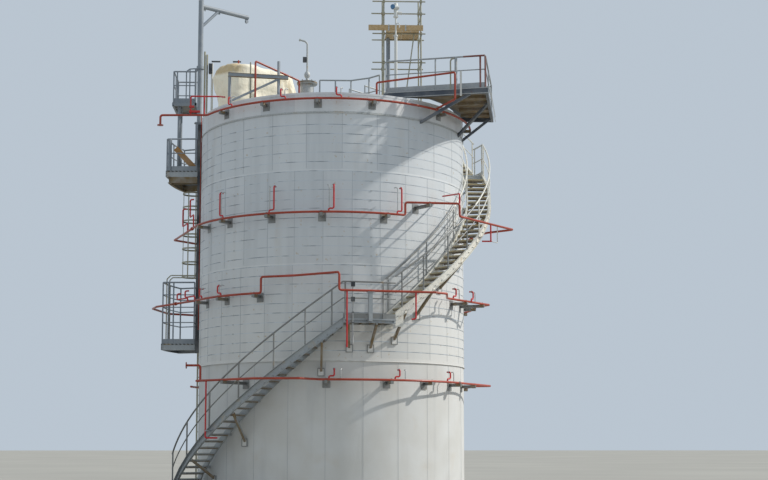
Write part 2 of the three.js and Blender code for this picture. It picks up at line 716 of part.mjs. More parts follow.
function buildMiddleMain() {
  const z = MIDDLE_MAIN;
  const raised = 6420;
  const outside = MIDDLE_MAIN_OUTSIDE;
  const bend = polar(MAIN_RADIUS, -66, z);
  const corner = point(-5600, 100, z);
  const [frontEnd, rearEnd] = cutAcross(bend, corner, 0.5);
  const split = ringCut(outside);
  const route = [
    frontEnd, ...arcPoints(MAIN_RADIUS, -66, -27, z),
    polar(MAIN_RADIUS, -27, raised), point(-1100, -4430, raised), point(200, -5300, raised),
    ...MIDDLE_MAIN_PASS, point(3310, -4420, outside), point(3420, -3200, outside),
    point(4900, -1280, outside), polar(MAIN_RADIUS, SPLIT, outside), split[0],
  ];
  const front = [
    pipe(route, MAIN_DIAMETER),
    [-64.5, -48.1, -30].map((angle) => pipeBracket(angle, z)),
    [[60, 4764], [71.1, 4983], [84, 4604]].map(([angle, reach]) => pipeBracket(angle, outside, reach)),
    [-48.4, -62].map((angle) => spray(angle, z, MAIN_RADIUS, 330)),
    [[52.9, 4670], [64.8, 4774]].map(([angle, radius]) => spray(angle, outside, radius, 330)),
  ];
  node('ring_main_middle_front', seatOnTank(join(front)), RED);
  const roundPlatform = [
    split[1], ...arcPoints(MAIN_RADIUS, SPLIT + FACET, 228, outside),
    point(-4300, 2750, outside), point(-5450, 2050, outside), point(-5800, 750, z), corner, rearEnd,
  ];
  const rear = [
    pipe(roundPlatform, MAIN_DIAMETER),
    [105, 145, 185, 224].map((angle) => pipeBracket(angle, outside)),
    [120, 200].map((angle) => spray(angle, outside, MAIN_RADIUS, 330)),
  ];
  node('ring_main_middle_rear', seatOnTank(join(rear)), RED);
}

function buildUpperMain() {
  const z = UPPER_MAIN;
  const raised = 8650;
  const bend = polar(MAIN_RADIUS, -66, z);
  const corner = point(-5200, 1250, z);
  const [frontEnd, rearEnd] = cutAcross(bend, corner, 0.2);
  const split = ringCut(z, AFTER_TIP);
  const route = [
    frontEnd, ...arcPoints(MAIN_RADIUS, -66, 28, z),
    polar(MAIN_RADIUS, 28, raised), point(3750, -3850, raised), point(3750, -3850, z),
    point(5650, -1400, z), point(4920, -730, z), polar(MAIN_RADIUS, AFTER_TIP, z), split[0],
  ];
  const tallRiser = [point(3750, -3850, raised), point(3750, -3850, 8950), point(3340, -2800, 8950)];
  const front = [
    pipe(route, MAIN_DIAMETER),
    [-64, -46.9, -25, -4.1, 20.9].map((angle) => pipeBracket(angle, z)),
    [-47.7, 0.5, -22].map((angle) => spray(angle, z)),
    spray(26.5, z, MAIN_RADIUS, 820),
    pipeBracket(36, raised, 4930),
    pipe(tallRiser, BRANCH_DIAMETER, 6),
    post(4830, -2458, z - 530, z, BRANCH_DIAMETER, 6),
  ];
  node('ring_main_upper_front', seatOnTank(join(front)), RED);
  const back = [
    split[1], ...arcPoints(MAIN_RADIUS, AFTER_TIP + FACET, 235, z), point(-4560, 2050, z), corner, rearEnd,
  ];
  const rear = [
    pipe(back, MAIN_DIAMETER),
    [105, 145, 185, 228].map((angle) => pipeBracket(angle, z)),
    [120, 200].map((angle) => spray(angle, z)),
  ];
  node('ring_main_upper_rear', seatOnTank(join(rear)), RED);
}

// The pipe over the roof's edge that joins the top main.
function roofFeed() {
  const x = 3580;
  const y = -4450;
  const route = [
    point(1310, -3500, EAVE - 80), point(1310, -3500, 12380), point(x, y, 12460), point(x, y, TOP_MAIN),
    polar(TOP_MAIN_RADIUS, 44, TOP_MAIN),
  ];
  return pipe(route, ROOF_PIPE_DIAMETER);
}

function buildTopMain() {
  const z = TOP_MAIN;
  const reach = TOP_MAIN_RADIUS + 40;
  const foot = point(-5300, -2150, z - 300);
  const front = [
    pipe([foot, point(-5300, -2150, z), ...arcPoints(TOP_MAIN_RADIUS, -60, 88, z)], MAIN_DIAMETER),
    flange(foot, point(-5300, -2150, z - 325)),
    [-50, -28, -6, 16, 50, 82].map((angle) => pipeBracket(angle, z, reach)),
    [-44.9, -20.2, 1.3].map((angle) => spray(angle, z, TOP_MAIN_RADIUS, 330)),
    roofFeed(),
  ];
  node('ring_main_top_front', seatOnTank(join(front)), RED);
  const feed = 152;
  const rear = [
    pipe(arcPoints(TOP_MAIN_RADIUS, 146, 250, z), MAIN_DIAMETER),
    polarPost(TOP_MAIN_RADIUS, feed, UPPER_MAIN + MAIN_DIAMETER, z, MAIN_DIAMETER, 8),
    [148, 180, 215, 248].map((angle) => pipeBracket(angle, z, reach)),
    [165, 200].map((angle) => spray(angle, z, TOP_MAIN_RADIUS, 330)),
  ];
  node('ring_main_top_rear', seatOnTank(join(rear)), RED);
}

// Left side: cable channel, ladders and platforms

function buildChannel() {
  const z = [4470, EAVE - 10];
  const middle = (z[0] + z[1]) / 2;
  const run = outward(-91, [IN_WALL, SHELL_RADIUS + 150], middle, 250, z[1] - z[0]);
  node('cable_channel', seatOnTank(run), BLUE_GREY);
}

// Two rails with rungs, standing off the wall.
function ladder(angle, radius, bottom, top) {
  const half = degrees(LADDER_WIDTH / 2 / radius);
  const sides = [angle - half, angle + half];
  const rungs = Math.floor((top - bottom - 150) / RUNG_PITCH);
  return [
    sides.map((each) => {
      return bar(polar(radius, each, bottom), polar(radius, each, top), 60, 12, polar(1, each + 90, 0));
    }),
    Array.from({ length: rungs }, (_, i) => {
      const z = bottom + 200 + i * RUNG_PITCH;
      return rod(polar(radius, sides[0], z), polar(radius, sides[1], z), 24, 4);
    }),
  ];
}

function ladderTies(angle, radius, levels) {
  const half = degrees(LADDER_WIDTH / 2 / radius);
  const sides = [angle - half, angle + half];
  return levels.map((z) => sides.map((each) => outward(each, [IN_WALL, radius], z, 40, 12)));
}

// Hoops round the climber, joined by upright straps.
function cage() {
  const centre = polar(LADDER_RADIUS + 330, LADDER_ANGLE, 0);
  const levels = spaced(CAGE_BOTTOM, CAGE_TOP, 7);
  const turns = spaced(56, 304, 7);
  const half = degrees(LADDER_WIDTH / 2 / LADDER_RADIUS);
  const band = [[-4, -25], [4, -25], [4, 25], [-4, 25]];
  const onHoop = (turn, z) => polar(CAGE_RADIUS, LADDER_ANGLE + 180 + turn, z).add(centre);
  const hoopAt = (z) => mitred([
    polar(LADDER_RADIUS, LADDER_ANGLE - half, z),
    ...turns.map((turn) => onHoop(turn, z)),
    polar(LADDER_RADIUS, LADDER_ANGLE + half, z),
  ], band);
  const straps = [turns[1], turns[3], turns[5]].map((turn) => {
    const foot = onHoop(turn, 0);
    const head = point(foot.x, foot.y, CAGE_TOP + 20);
    return bar(point(foot.x, foot.y, CAGE_BOTTOM - 20), head, 40, 24, foot.clone().sub(centre));
  });
  return [levels.map(hoopAt), straps];
}

function buildLadders() {
  const top = UPPER_PLATFORM.level + 1050;
  const tall = [
    ladder(LADDER_ANGLE, LADDER_RADIUS, LOWER_PLATFORM.level + SEAT, top),
    ladderTies(LADDER_ANGLE, LADDER_RADIUS, [5600, 7400, 9200, 11000]),
    cage(),
  ];
  node('caged_ladder', seatOnTank(join(tall)), GALVANISED);
  const lowerAngle = -116.5;
  const radius = 4860;
  const low = [
    ladder(lowerAngle, radius, 0, LOWER_PLATFORM.level + 1050),
    ladderTies(lowerAngle, radius, [900, 2500, 4300]),
  ];
  node('access_ladder', seatOnTank(join(low)), GALVANISED);
}

// A platform on wall brackets round the ladder, with a hatch where the ladder comes up.
function sidePlatform(name, { level, outer, rails, uprights, upright, girder }, hatch) {
  const floorBottom = level - FLOOR_THICKNESS;
  const bottom = level - BEAM_DEPTH;
  const edge = { step: 5 };
  const ends = [PLATFORM_END + 0.4, PLATFORM_START - 0.4];
  const beamMiddle = (floorBottom + bottom) / 2;
  const beamHeight = floorBottom - bottom + 4;
  const beamAngles = [-95.5, -110];
  const floor = join([
    sector(PLATFORM_INNER, outer, PLATFORM_END, PLATFORM_START, floorBottom, level, edge),
    sector(outer - CHANNEL_PLATE, outer, PLATFORM_END, PLATFORM_START, bottom, level, edge),
    ends.map((angle) => outward(angle, [PLATFORM_INNER + 10, outer - 20], beamMiddle, 60, beamHeight)),
    beamAngles.map((angle) => outward(angle, [IN_WALL, outer - 40], beamMiddle, 60, beamHeight)),
  ]);
  const under = [
    sector(outer - 170, outer - 70, PLATFORM_END, PLATFORM_START, bottom - girder, bottom + 2, edge),
    beamAngles.map((angle) => outward(angle, [IN_WALL, outer - 80], bottom - girder / 2, 60, girder + 4)),
  ];
  const whole = girder > 0 ? join(floor, under) : floor;
  const cut = hatch ? whole.subtract(hatch) : whole;
  const radius = outer - 30;
  const inner = PLATFORM_INNER + 40;
  const span = [PLATFORM_END + 0.5, PLATFORM_START - 0.5];
  const foot = level - 10;
  const head = level + Math.max(...rails);
  const railing = [
    rails.map((height) => hoop(radius, level + height, RAIL_DIAMETER, ...span, edge)),
    spaced(...span, 3).map((angle) => polarPost(radius, angle, foot, head, POST_DIAMETER, 4)),
    uprights.map((back) => polarPost(radius - back, span[1], foot, head, upright, 4)),
    sector(radius - PLATE, radius, ...span, foot, level + TOE_HEIGHT, edge),
    span.map((angle) => [
      rails.map((height) => outward(angle, [inner, radius], level + height, RAIL_DIAMETER, RAIL_DIAMETER)),
      polarPost(inner, angle, foot, head, POST_DIAMETER, 4),
    ]),
  ];
  node(name, seatOnTank(join(cut, railing)), BLUE_GREY);
}

function buildSidePlatforms() {
  sidePlatform('platform_lower', LOWER_PLATFORM, null);
  const reach = [LADDER_RADIUS - 80, LADDER_RADIUS + 700];
  const hatch = outward(LADDER_ANGLE, reach, UPPER_PLATFORM.level - 60, 640, 320);
  sidePlatform('platform_upper', UPPER_PLATFORM, hatch);
}

// Posts, two rails and toe plates along a line of places on a level floor.
function railing(places, level, { toe = TOE_HEIGHT, foot = -10, rail = RAIL_HEIGHT } = {}) {
  const at = ([x, y], height) => point(x, y, level + height);
  const runs = places.slice(1).map((end, i) => [places[i], end]);
  const railsOf = ([a, b]) => [rail, MID_RAIL_HEIGHT].map((height) => {
    return rod(at(a, height), at(b, height), RAIL_DIAMETER, 4);
  });
  const middle = toe / 2 - 5;
  return [
    places.map((place) => rod(at(place, foot), at(place, rail), POST_DIAMETER, 4)),
    runs.map(railsOf),
    toe > 0 ? runs.map(([a, b]) => bar(at(a, middle), at(b, middle), PLATE, toe)) : [],
  ];
}

function buildHighPlatform() {
  const { level, left, right, front, back } = HIGH_PLATFORM;
  const bottom = level - 120;
  const under = level - 10;
  const legs = [950, 1500].map((y) => post(left + 220, y, UPPER_PLATFORM.level + SEAT, under, STRUT, 6));
  const corner = [right - 40, front + 40];
  const places = [corner, [left + 40, front + 40], [left + 40, back - 40], [right - 40, back - 40]];
  const collarEdge = point(MAST.x, MAST.y + collarOuter() - 10, COLLAR_LEVEL);
  const brace = (y, angle) => {
    return bar(point(right - 30, y, bottom + 20), polar(IN_WALL, angle, 11500), STRUT, STRUT);
  };
  const parts = [
    box(left, right, front, back, level - FLOOR_THICKNESS, level),
    box(left, left + 60, front, back, bottom, under),
    box(right - 60, right, front, back, bottom, under),
    box(left + 10, right - 10, front, front + 60, bottom, under),
    box(left + 10, right - 10, back - 60, back, bottom, under),
    legs,
    railing(places, level),
    post(...corner, under, COLLAR_LEVEL + 40, 70, 6),
    brace(1000, -103),
    brace(2000, -116),
    collarRing(),
    bar(collarEdge, point(...corner, COLLAR_LEVEL), 60, 80),
  ];
  node('platform_high', seatOnTank(join(parts)), BLUE_GREY);
}

// Davit

function collarOuter() {
  return MAST.diameter / 2 + RUNNING_GAP + 30;
}

function collarRing() {
  const inner = MAST.diameter / 2 + RUNNING_GAP;
  const outer = collarOuter();
  const section = [[inner, -50], [outer, -50], [outer, 50], [inner, 50], [inner, -50]];
  return turned(section, 16, point(MAST.x, MAST.y, COLLAR_LEVEL));
}

function buildDavit() {
  const inner = MAST.diameter / 2 + RUNNING_GAP;
  const outer = SOCKET.diameter / 2;
  const floor = MAST.bottom - SEAT;
  const cup = turned([
    [0, SOCKET.bottom],
    [outer, SOCKET.bottom],
    [outer, SOCKET.top],
    [inner, SOCKET.top],
    [inner, floor],
    [0, floor],
  ], 16, point(MAST.x, MAST.y, 0));
  const reach = Math.hypot(MAST.x, MAST.y) - outer + 20;
  const armLevels = [SOCKET.bottom + 150, SOCKET.top - 200];
  const arms = armLevels.map((z) => outward(-97, [IN_WALL, reach], z, 160, 160));
  node('davit_socket', seatOnTank(join(cup, arms)), BLUE_GREY);
  const along = polar(1, JIB.angle, 0);
  const foot = point(MAST.x, MAST.y, 0);
  const reachPoint = (distance, z) => point(foot.x + along.x * distance, foot.y + along.y * distance, z);
  const swing = [
    post(MAST.x, MAST.y, MAST.bottom, MAST.top, MAST.diameter, 16),
    rod(reachPoint(0, JIB.level), reachPoint(JIB.reach, JIB.level), JIB.diameter, 12),
    rod(reachPoint(0, JIB.braceFoot), reachPoint(JIB.braceReach, JIB.level), 80, 8),
    bar(reachPoint(JIB.reach - 60, JIB.level - 160), reachPoint(JIB.reach - 40, JIB.level + 20), 20, 120),
  ];
  node('davit', join(swing), BLUE_GREY);
}

// Roof

function buildRoofVent() {
  const at = point(-820, -1200, 0);
  const outline = [
    [0, IN_ROOF], [215, IN_ROOF], [215, 12900], [320, 12900], [320, 12985], [60, 13010],
    [45, 13110], [95, 13200], [95, 13250], [40, 13340], [0, 13340],
  ];
  const neck = [[0, 13300], [0, 14230], [-70, 14320], [-260, 14370]];
  const drum = [
    turned(outline, 16, at),
    pipe(neck.map(([x, z]) => point(at.x + x, at.y, z)), 60),
    box(at.x - 140, at.x, at.y - 50, at.y + 50, 13640, 13800),
  ];
  node('roof_vent', seatOnTank(join(drum)), GALVANISED);
}

function buildCover() {
  const outline = [
    [-3620, IN_ROOF], [-1130, IN_ROOF], [-1120, 12700], [-1260, 13280], [-1360, 13380],
    [-2000, 13510], [-2450, 13570], [-3480, 13570], [-3740, 13490], [-3860, 13200],
  ];
  const shape = new THREE.Shape(outline.map(([x, z]) => new THREE.Vector2(x, z)));
  const geometry = new THREE.ExtrudeGeometry(shape, { depth: 1500, bevelEnabled: false });
  geometry.rotateX(Math.PI / 2);
  geometry.translate(0, -100, 0);
  node('tarpaulin_cover', seatOnTank(solid(geometry)), TARPAULIN);
}

function buildPipeFrame() {
  const left = [-3150, -2700];
  const right = [-1670, -2450];
  const beam = 12800;
  const frame = [
    post(left[0], left[1], 11700, 12880, 90, 4),
    post(right[0], right[1], 11700, 13300, 90, 4),
    bar(point(left[0], left[1], beam), point(-1380, -2400, beam), 80, 100),
    bar(point(left[0], left[1], 11960), point(right[0], right[1], beam - 60), 60, 60),
  ];
  node('pipe_frame', seatOnTank(join(frame)), BLUE_GREY);
}

function buildRoofPipe() {
  const low = EAVE - 80;
  const riser = pipe([
    point(-2370, -2700, low), point(-2370, -2700, 13230),
    point(-1060, -1700, 12900), point(-1060, -1700, low),
  ], ROOF_PIPE_DIAMETER);
  node('roof_pipe', seatOnTank(riser), RED);
}

function buildScaffold() {
  const { left, right, front, back, middle, top, tube, deck } = SCAFFOLD;
  const corners = [[left, front], [right, front], [right, back], [left, back]];
  const over = 350;
  const thin = 0.8 * tube;
  const rest = deck - thin / 2 - SEAT;
  const ledgers = [
    [front, 13290], [back, 13410], [front, rest], [middle, rest],
    [front, 14840], [back, 14840], [front, 15230], [back, 15230],
  ];
  const ledger = (y, z) => rod(point(left - over, y, z), point(right + over, y, z), thin, 4);
  const transom = (x, z) => rod(point(x, front - 150, z), point(x, back + 150, z), thin, 4);
  const transoms = [13350, rest, 14840, 15230].map((z) => z - 34);
  const parts = [
    corners.map(([x, y]) => post(x, y, IN_ROOF, top, tube, 4)),
    ledgers.map(([y, z]) => ledger(y, z)),
    transoms.map((z) => [left, right].map((x) => transom(x, z))),
    rod(point(2200, front, IN_ROOF), point(2500, front, rest), thin, 4),
  ];
  node('scaffold_frame', seatOnTank(join(parts)), GALVANISED);
  const boards = [
    box(left + 60, right - 60, front - 140, middle + 80, deck, deck + 40),
    box(left + 60, right - 60, front - 140, front - 110, deck + 20, deck + 190),
  ];
  node('scaffold_deck', join(boards), TIMBER);
}

function buildMasts() {
  node('roof_column', seatOnTank(post(1715, -2000, IN_ROOF, SCAFFOLD.deck - 30, 125, 12)), BLUE_GREY);
  const x = 1920;
  const y = -2780;
  const mast = [
    post(x, y, IN_ROOF, 14040, 95, 12),
    post(x, y, 14020, 14700, 50, 8),
    post(x, y, 14670, 15080, 120, 12),
    post(x, y, 14030, 14070, 130, 12),
    post(x, y, 14630, 14670, 150, 12),
  ];
  node('instrument_mast', seatOnTank(join(mast)), WHITE);
}

function buildRoofWalkway() {
  const places = [[-420, -1230], [570, -1230], [1130, -1540], [1450, -1900]];
  const parts = railing(places, 12000, { toe: 0, foot: -60 });
  node('roof_railing', seatOnTank(join(parts)), GALVANISED);
  const { angle, level, inner, outer, width, depth } = ROOF_WALKWAY;
  const offset = width / 2 - 40;
  const radii = [outer - 100, (inner + outer) / 2, inner + 250];
  const edges = [-offset, offset].map((across) => radii.map((radius) => {
    const spot = polar(radius, angle, 0).add(polar(across, angle + 90, 0));
    return [spot.x, spot.y];
  }));
  const deck = [
    outward(angle, [inner, outer], level - depth / 2, width, depth),
    edges.flat().map((spot) => post(...spot, IN_ROOF, level - depth / 2, POST_DIAMETER, 4)),
  ];
  node('roof_walkway', seatOnTank(join(deck)), GALVANISED);
  edges.forEach((edge, i) => {
    node(`roof_walkway_rail_${i + 1}`, join(railing(edge, level, { toe: 0, foot: SEAT })), GALVANISED);
  });
}

// Platform at the top right, over the stair

const WALKWAY_EDGE = [[1550, -3200], [4600, -4000], [5200, -300]];

function buildTopRightPlatform() {
  const { top, depth, rail, toe } = HIGH_WALKWAY;
  const arc = spaced(86, 41, 7).map((angle) => polar(4000, angle, 0).toArray().slice(0, 2));
  const outline = [...WALKWAY_EDGE, [4300, -300], ...arc, [1700, -2800]];
  const bottom = top - depth;
  const beam = (a, b) => bar(point(...a, top - depth / 2), point(...b, top - depth / 2), 70, depth);
  const inset = WALKWAY_EDGE.map(([x, y]) => [x * 0.992, y * 0.992]);
  const braces = [[38.6, 4100, -3830], [70, 4750, -2600], [80, 5060, -700]].map(([angle, x, y]) => {
    return bar(polar(IN_WALL, angle, 11200), point(x, y, bottom + 30), 80, 80);
  });
  const parts = [
    prism(outline, top - FLOOR_THICKNESS, top),
    beam(inset[0], inset[1]),
    beam(inset[1], inset[2]),
    beam([5150, -330], [4150, -330]),
    braces,
  ];
  node('platform_top_right', seatOnTank(join(parts)), GALVANISED);
  const inner = WALKWAY_EDGE.map(([x, y], i) => [x - (i === 0 ? -60 : 60), y + (i === 2 ? -60 : 60)]);
  const halfway = (a, b) => [(a[0] + b[0]) / 2, (a[1] + b[1]) / 2];
  const places = [
    inner[0], halfway(inner[0], inner[1]), inner[1], halfway(inner[1], inner[2]), inner[2], [4330, -370],
  ];
  const fence = railing(places, top, { foot: SEAT, rail, toe });
  const trimmed = join(fence).subtract(box(0, 6000, -6000, 0, top - 200, top + SEAT));
  node('handrail_top_right', trimmed, GALVANISED);
}

buildTank();
buildLowerFlight();
buildLanding();
buildUpperPart('stair_upper_flight_1', UPPER_SPAN_1, [0, 13], UPPER_STRUTS_1);
buildUpperPart('stair_upper_flight_2', UPPER_SPAN_2, [13, 27], UPPER_STRUTS_2);
buildTopLandings();
buildHandrails();
buildLowerMain();
buildMiddleMain();
buildUpperMain();
buildTopMain();
buildChannel();
buildLadders();
buildSidePlatforms();
buildHighPlatform();
buildDavit();
buildRoofVent();
buildCover();
buildPipeFrame();
buildRoofPipe();
buildScaffold();
buildMasts();
buildRoofWalkway();
buildTopRightPlatform();

export default model;
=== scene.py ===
# Insulated cylindrical storage tank: cladding, pipework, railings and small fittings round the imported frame.
# Metres, +Z up. An angle is in degrees round the tank's axis, from the front (-Y) and growing towards +X.
# The corners of a pipe's or a pole's path are places in the frame, and lie on its middle line.

import math
from collections import namedtuple

import bmesh
import bpy
from mathutils import Matrix, Vector, noise


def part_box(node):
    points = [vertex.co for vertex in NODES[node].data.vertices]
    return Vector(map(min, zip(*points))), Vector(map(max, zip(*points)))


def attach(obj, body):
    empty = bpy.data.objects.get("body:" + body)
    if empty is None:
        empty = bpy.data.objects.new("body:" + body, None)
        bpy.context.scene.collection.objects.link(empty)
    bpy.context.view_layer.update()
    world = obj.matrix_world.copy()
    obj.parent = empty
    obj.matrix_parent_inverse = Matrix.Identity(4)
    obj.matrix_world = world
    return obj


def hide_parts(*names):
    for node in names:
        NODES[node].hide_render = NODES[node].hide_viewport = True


bl_info = {
    "name": "Insulated Storage Tank",
    "version": (1, 0, 0),
    "blender": (4, 5, 0),
    "location": "View3D > Sidebar > Storage Tank",
    "description": "Dresses an insulated storage tank with cladding, pipework, railings and finishes",
    "category": "Object",
}

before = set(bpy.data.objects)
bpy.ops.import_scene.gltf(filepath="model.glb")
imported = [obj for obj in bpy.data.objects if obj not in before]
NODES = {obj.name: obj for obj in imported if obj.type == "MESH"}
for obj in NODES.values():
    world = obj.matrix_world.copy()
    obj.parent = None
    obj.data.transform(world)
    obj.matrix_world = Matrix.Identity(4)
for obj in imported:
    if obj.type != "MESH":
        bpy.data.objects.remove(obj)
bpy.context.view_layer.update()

# Sizes taken from the frame

SHELL_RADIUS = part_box("top_fascia")[1].x
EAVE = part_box("top_fascia")[1].z
FASCIA_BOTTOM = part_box("top_fascia")[0].z
PLINTH_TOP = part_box("foundation_plinth")[1].z

# Sizes of the tank's own layout

LOWER_BAND_TOP = 4.0
LOWER_BAND_INSET = 0.015
COURSE_JOINTS = (4.0, 6.8, 9.57, 11.3)
SEAM_STARTS = (8.0, 7.9, 3.8)
SEAM_PITCHES = (12.0, 11.613, 14.4)
SEAM_BEAD = 0.006
SHEET_JOINT = 0.003
LOWER_SHEETS = 24
LOWER_SHEET_START = 5.0
FASCIA_SHEETS = 24
FASCIA_SHEET_START = 7.0
ROOF_RIBS = 36
BEAM_END = SHELL_RADIUS + 0.003
PAD_FACE = SHELL_RADIUS + 0.014
BUCKLE_ANGLES = (15.7, -44.3, -104.3, 75.7, 135.7, 195.7)

RISER = 0.19
TREAD_ANGLE = 2.95
STAIR_INNER = 4.3
STAIR_OUTER = 5.1
CHANNEL_WIDTH = 0.07
STRINGER_RISE = 0.03
LANDING_START = 3.5
LANDING_END = 21.0
LANDING_LEVEL = 27 * RISER
REST_LEVEL = LANDING_LEVEL + 28 * RISER
REST_START = LANDING_END + 27 * TREAD_ANGLE
REST_END = 110.0
ROOF_LANDING_LEVEL = REST_LEVEL + 8 * RISER
ROOF_LANDING_START = REST_END + 7 * TREAD_ANGLE
ROOF_LANDING_END = 143.0
UPPER_SPLICE = LANDING_END + 13 * TREAD_ANGLE

Flight = namedtuple("Flight", "start base treads")
LOWER_FLIGHT = Flight(LANDING_START - 26 * TREAD_ANGLE, 0.0, 26)
UPPER_FLIGHT = Flight(LANDING_END, LANDING_LEVEL, 27)
TOP_FLIGHT = Flight(REST_END, REST_LEVEL, 7)

RAIL_HEIGHT = 1.05
MID_RAIL_HEIGHT = 0.58
TOE_HEIGHT = 0.15
TOE_THICKNESS = 0.008
RAIL_RADIUS = STAIR_OUTER - 0.035
LOWER_POSTS = (-71.5, -57.5, -44.3, -31.7, -19, -8.6, -0.1)
LANDING_POSTS = (4.2, 16.7)
UPPER_POSTS = (23.3, 31.5, 42.3, 53.0)
INNER_RAIL_RADIUS = STAIR_INNER + CHANNEL_WIDTH - 0.023

MAIN_DIAMETER = 0.0675
BRANCH_DIAMETER = 0.048
MAIN_RADIUS = 4.55
COUPLING = 0.11
FLANGE = 0.19
ROOF_PIPE_DIAMETER = 0.06
RISER_OFFSET = 1.9
TOP_MAIN_RADIUS = 4.45
LOWER_MAIN = 3.43
MIDDLE_MAIN = 5.95
MIDDLE_MAIN_OUTSIDE = 5.91
MIDDLE_MAIN_RAISED = 6.42
UPPER_MAIN = 8.27
UPPER_MAIN_RAISED = 8.65
TOP_MAIN = 11.65
SPLICE = 93.75
MIDDLE_SPLICE = 86.25

PLATFORM_START = -92.0
PLATFORM_END = -112.0
PLATFORM_INNER = 4.37
LADDER_ANGLE = -105.0
LADDER_RADIUS = 4.42
LADDER_WIDTH = 0.45
ACCESS_ANGLE = -116.5
ACCESS_RADIUS = 4.86
RUNG_PITCH = 0.3
SidePlatform = namedtuple("SidePlatform", "level outer rails uprights upright girder")
LOWER_PLATFORM = SidePlatform(4.78, 5.45, (0.68, 1.17, 1.57, 1.97), (0.18, 0.34), 0.046, 0.0)
UPPER_PLATFORM = SidePlatform(10.39, 5.4, (0.58, 1.05), (0.09,), 0.12, 0.2)
HIGH_PLATFORM = {"level": 12.8, "left": -5.3, "right": -4.5, "front": 0.78, "back": 2.2}
CAGE_BOTTOM = 7.05
CAGE_TOP = 9.81
CAGE_RADIUS = 0.35
CAGE_HOOPS = 7
CAGE_STRAP_TURNS = (56, 97.3, 138.7, 180, 221.3, 262.7, 304)
PLATFORM_BEAMS = (-95.5, -110.0)
HATCH_HALF_ANGLE = 3.9

MAST_X = -4.37
MAST_Y = 0.54
MAST_DIAMETER = 0.17
MAST_BOTTOM = 10.7
MAST_TOP = 16.2
COLLAR_LEVEL = 13.9
JIB_LEVEL = 16.0
JIB_ANGLE = 128.8
JIB_REACH = 1.885
SCAFFOLD = {
    "left": 1.56,
    "right": 2.71,
    "front": -2.5,
    "middle": -1.82,
    "back": -1.3,
    "top": 15.6,
    "deck": 14.225,
    "tube": 0.048,
}

SCAFFOLD_LEDGER = 0.0385
LEDGER_DROP = 0.0195
LEDGER_OVERHANGS = (0.35, 0.14)
LOW_LEDGERS = (13.29, 13.41)
HIGH_LEDGERS = (14.84, 15.23)

VENT_PLACE = (-0.82, -1.2)
COLUMN_PLACE = (1.715, -2.0)
INSTRUMENT_PLACE = (1.92, -2.78)

UP = Vector((0, 0, 1))


def hex_colour(text):
    """An sRGB hex colour as linear red, green, blue and alpha."""
    channels = [int(text[i : i + 2], 16) / 255 for i in (1, 3, 5)]
    linear = [c / 12.92 if c <= 0.04045 else ((c + 0.055) / 1.055) ** 2.4 for c in channels]
    return (*linear, 1.0)


def polar(radius, angle, z=0.0):
    turn = math.radians(angle)
    return Vector((radius * math.sin(turn), -radius * math.cos(turn), z))


def point(x, y, z):
    return Vector((x, y, z))


def upright(x, y, low, high):
    """The path of a vertical pole."""
    return [point(x, y, low), point(x, y, high)]


def spaced(first, last, count):
    return [first + (last - first) * i / (count - 1) for i in range(count)]


def arc(radius, first, last, z, step=2.5):
    """Points round the tank at one level, or at a level that z gives for each angle."""
    count = max(2, round(abs(last - first) / step) + 1)
    level = z if callable(z) else lambda angle: z
    return [polar(radius, angle, level(angle)) for angle in spaced(first, last, count)]


def nosing_line(flight):
    """The height of a flight's nosings at an angle."""
    return lambda angle: flight.base + RISER * (1 + (angle - flight.start) / TREAD_ANGLE)


# Node trees


def add(tree, kind, inputs=(), **settings):
    """Adds a node, sets its settings, and gives each named input a value or a link."""
    node = tree.nodes.new(kind)
    for name, value in settings.items():
        setattr(node, name, value)
    for name, value in dict(inputs).items():
        if isinstance(value, bpy.types.NodeSocket):
            tree.links.new(value, node.inputs[name])
        else:
            node.inputs[name].default_value = value
    return node


def new_tree(name, sockets):
    """A geometry tree with a geometry input and the named inputs, and its two group nodes."""
    tree = bpy.data.node_groups.new(name, "GeometryNodeTree")
    tree.interface.new_socket("Geometry", in_out="OUTPUT", socket_type="NodeSocketGeometry")
    tree.interface.new_socket("Geometry", in_out="INPUT", socket_type="NodeSocketGeometry")
    for label, kind, value in sockets:
        socket = tree.interface.new_socket(label, in_out="INPUT", socket_type=kind)
        if value is not None:
            socket.default_value = value
    return tree, add(tree, "NodeGroupInput").outputs


def close_tree(tree, geometry, material):
    """Ends a tree with plain geometry that has its material."""
    real = add(tree, "GeometryNodeRealizeInstances", {"Geometry": geometry})
    dressed = add(
        tree, "GeometryNodeSetMaterial", {"Geometry": real.outputs["Geometry"], "Material": material}
    )
    add(tree, "NodeGroupOutput", {"Geometry": dressed.outputs["Geometry"]})
    return tree


def tube_tree():
    """A round tube with smooth bends along each polyline of the source mesh."""
    tree, given = new_tree("Tube along a path", [
        ("Diameter", "NodeSocketFloat", 0.05),
        ("Bend radius", "NodeSocketFloat", 0.1),
        ("Bend steps", "NodeSocketInt", 5),
        ("Sides", "NodeSocketInt", 12),
        ("Material", "NodeSocketMaterial", None),
    ])
    path = add(tree, "GeometryNodeMeshToCurve", {"Mesh": given["Geometry"]})
    bent = add(tree, "GeometryNodeFilletCurve", {
        "Curve": path.outputs["Curve"],
        "Count": given["Bend steps"],
        "Radius": given["Bend radius"],
        "Limit Radius": True,
    }, mode="POLY")
    line = add(tree, "GeometryNodeSwitch", {
        "Switch": given["Bend radius"],
        "False": path.outputs["Curve"],
        "True": bent.outputs["Curve"],
    }, input_type="GEOMETRY")
    half = add(tree, "ShaderNodeMath", {0: given["Diameter"], 1: 0.5}, operation="MULTIPLY")
    ring = add(
        tree, "GeometryNodeCurvePrimitiveCircle", {"Resolution": given["Sides"], "Radius": half.outputs[0]}
    )
    tube = add(tree, "GeometryNodeCurveToMesh", {
        "Curve": line.outputs[0],
        "Profile Curve": ring.outputs["Curve"],
        "Fill Caps": True,
    })
    return close_tree(tree, tube.outputs["Mesh"], given["Material"])


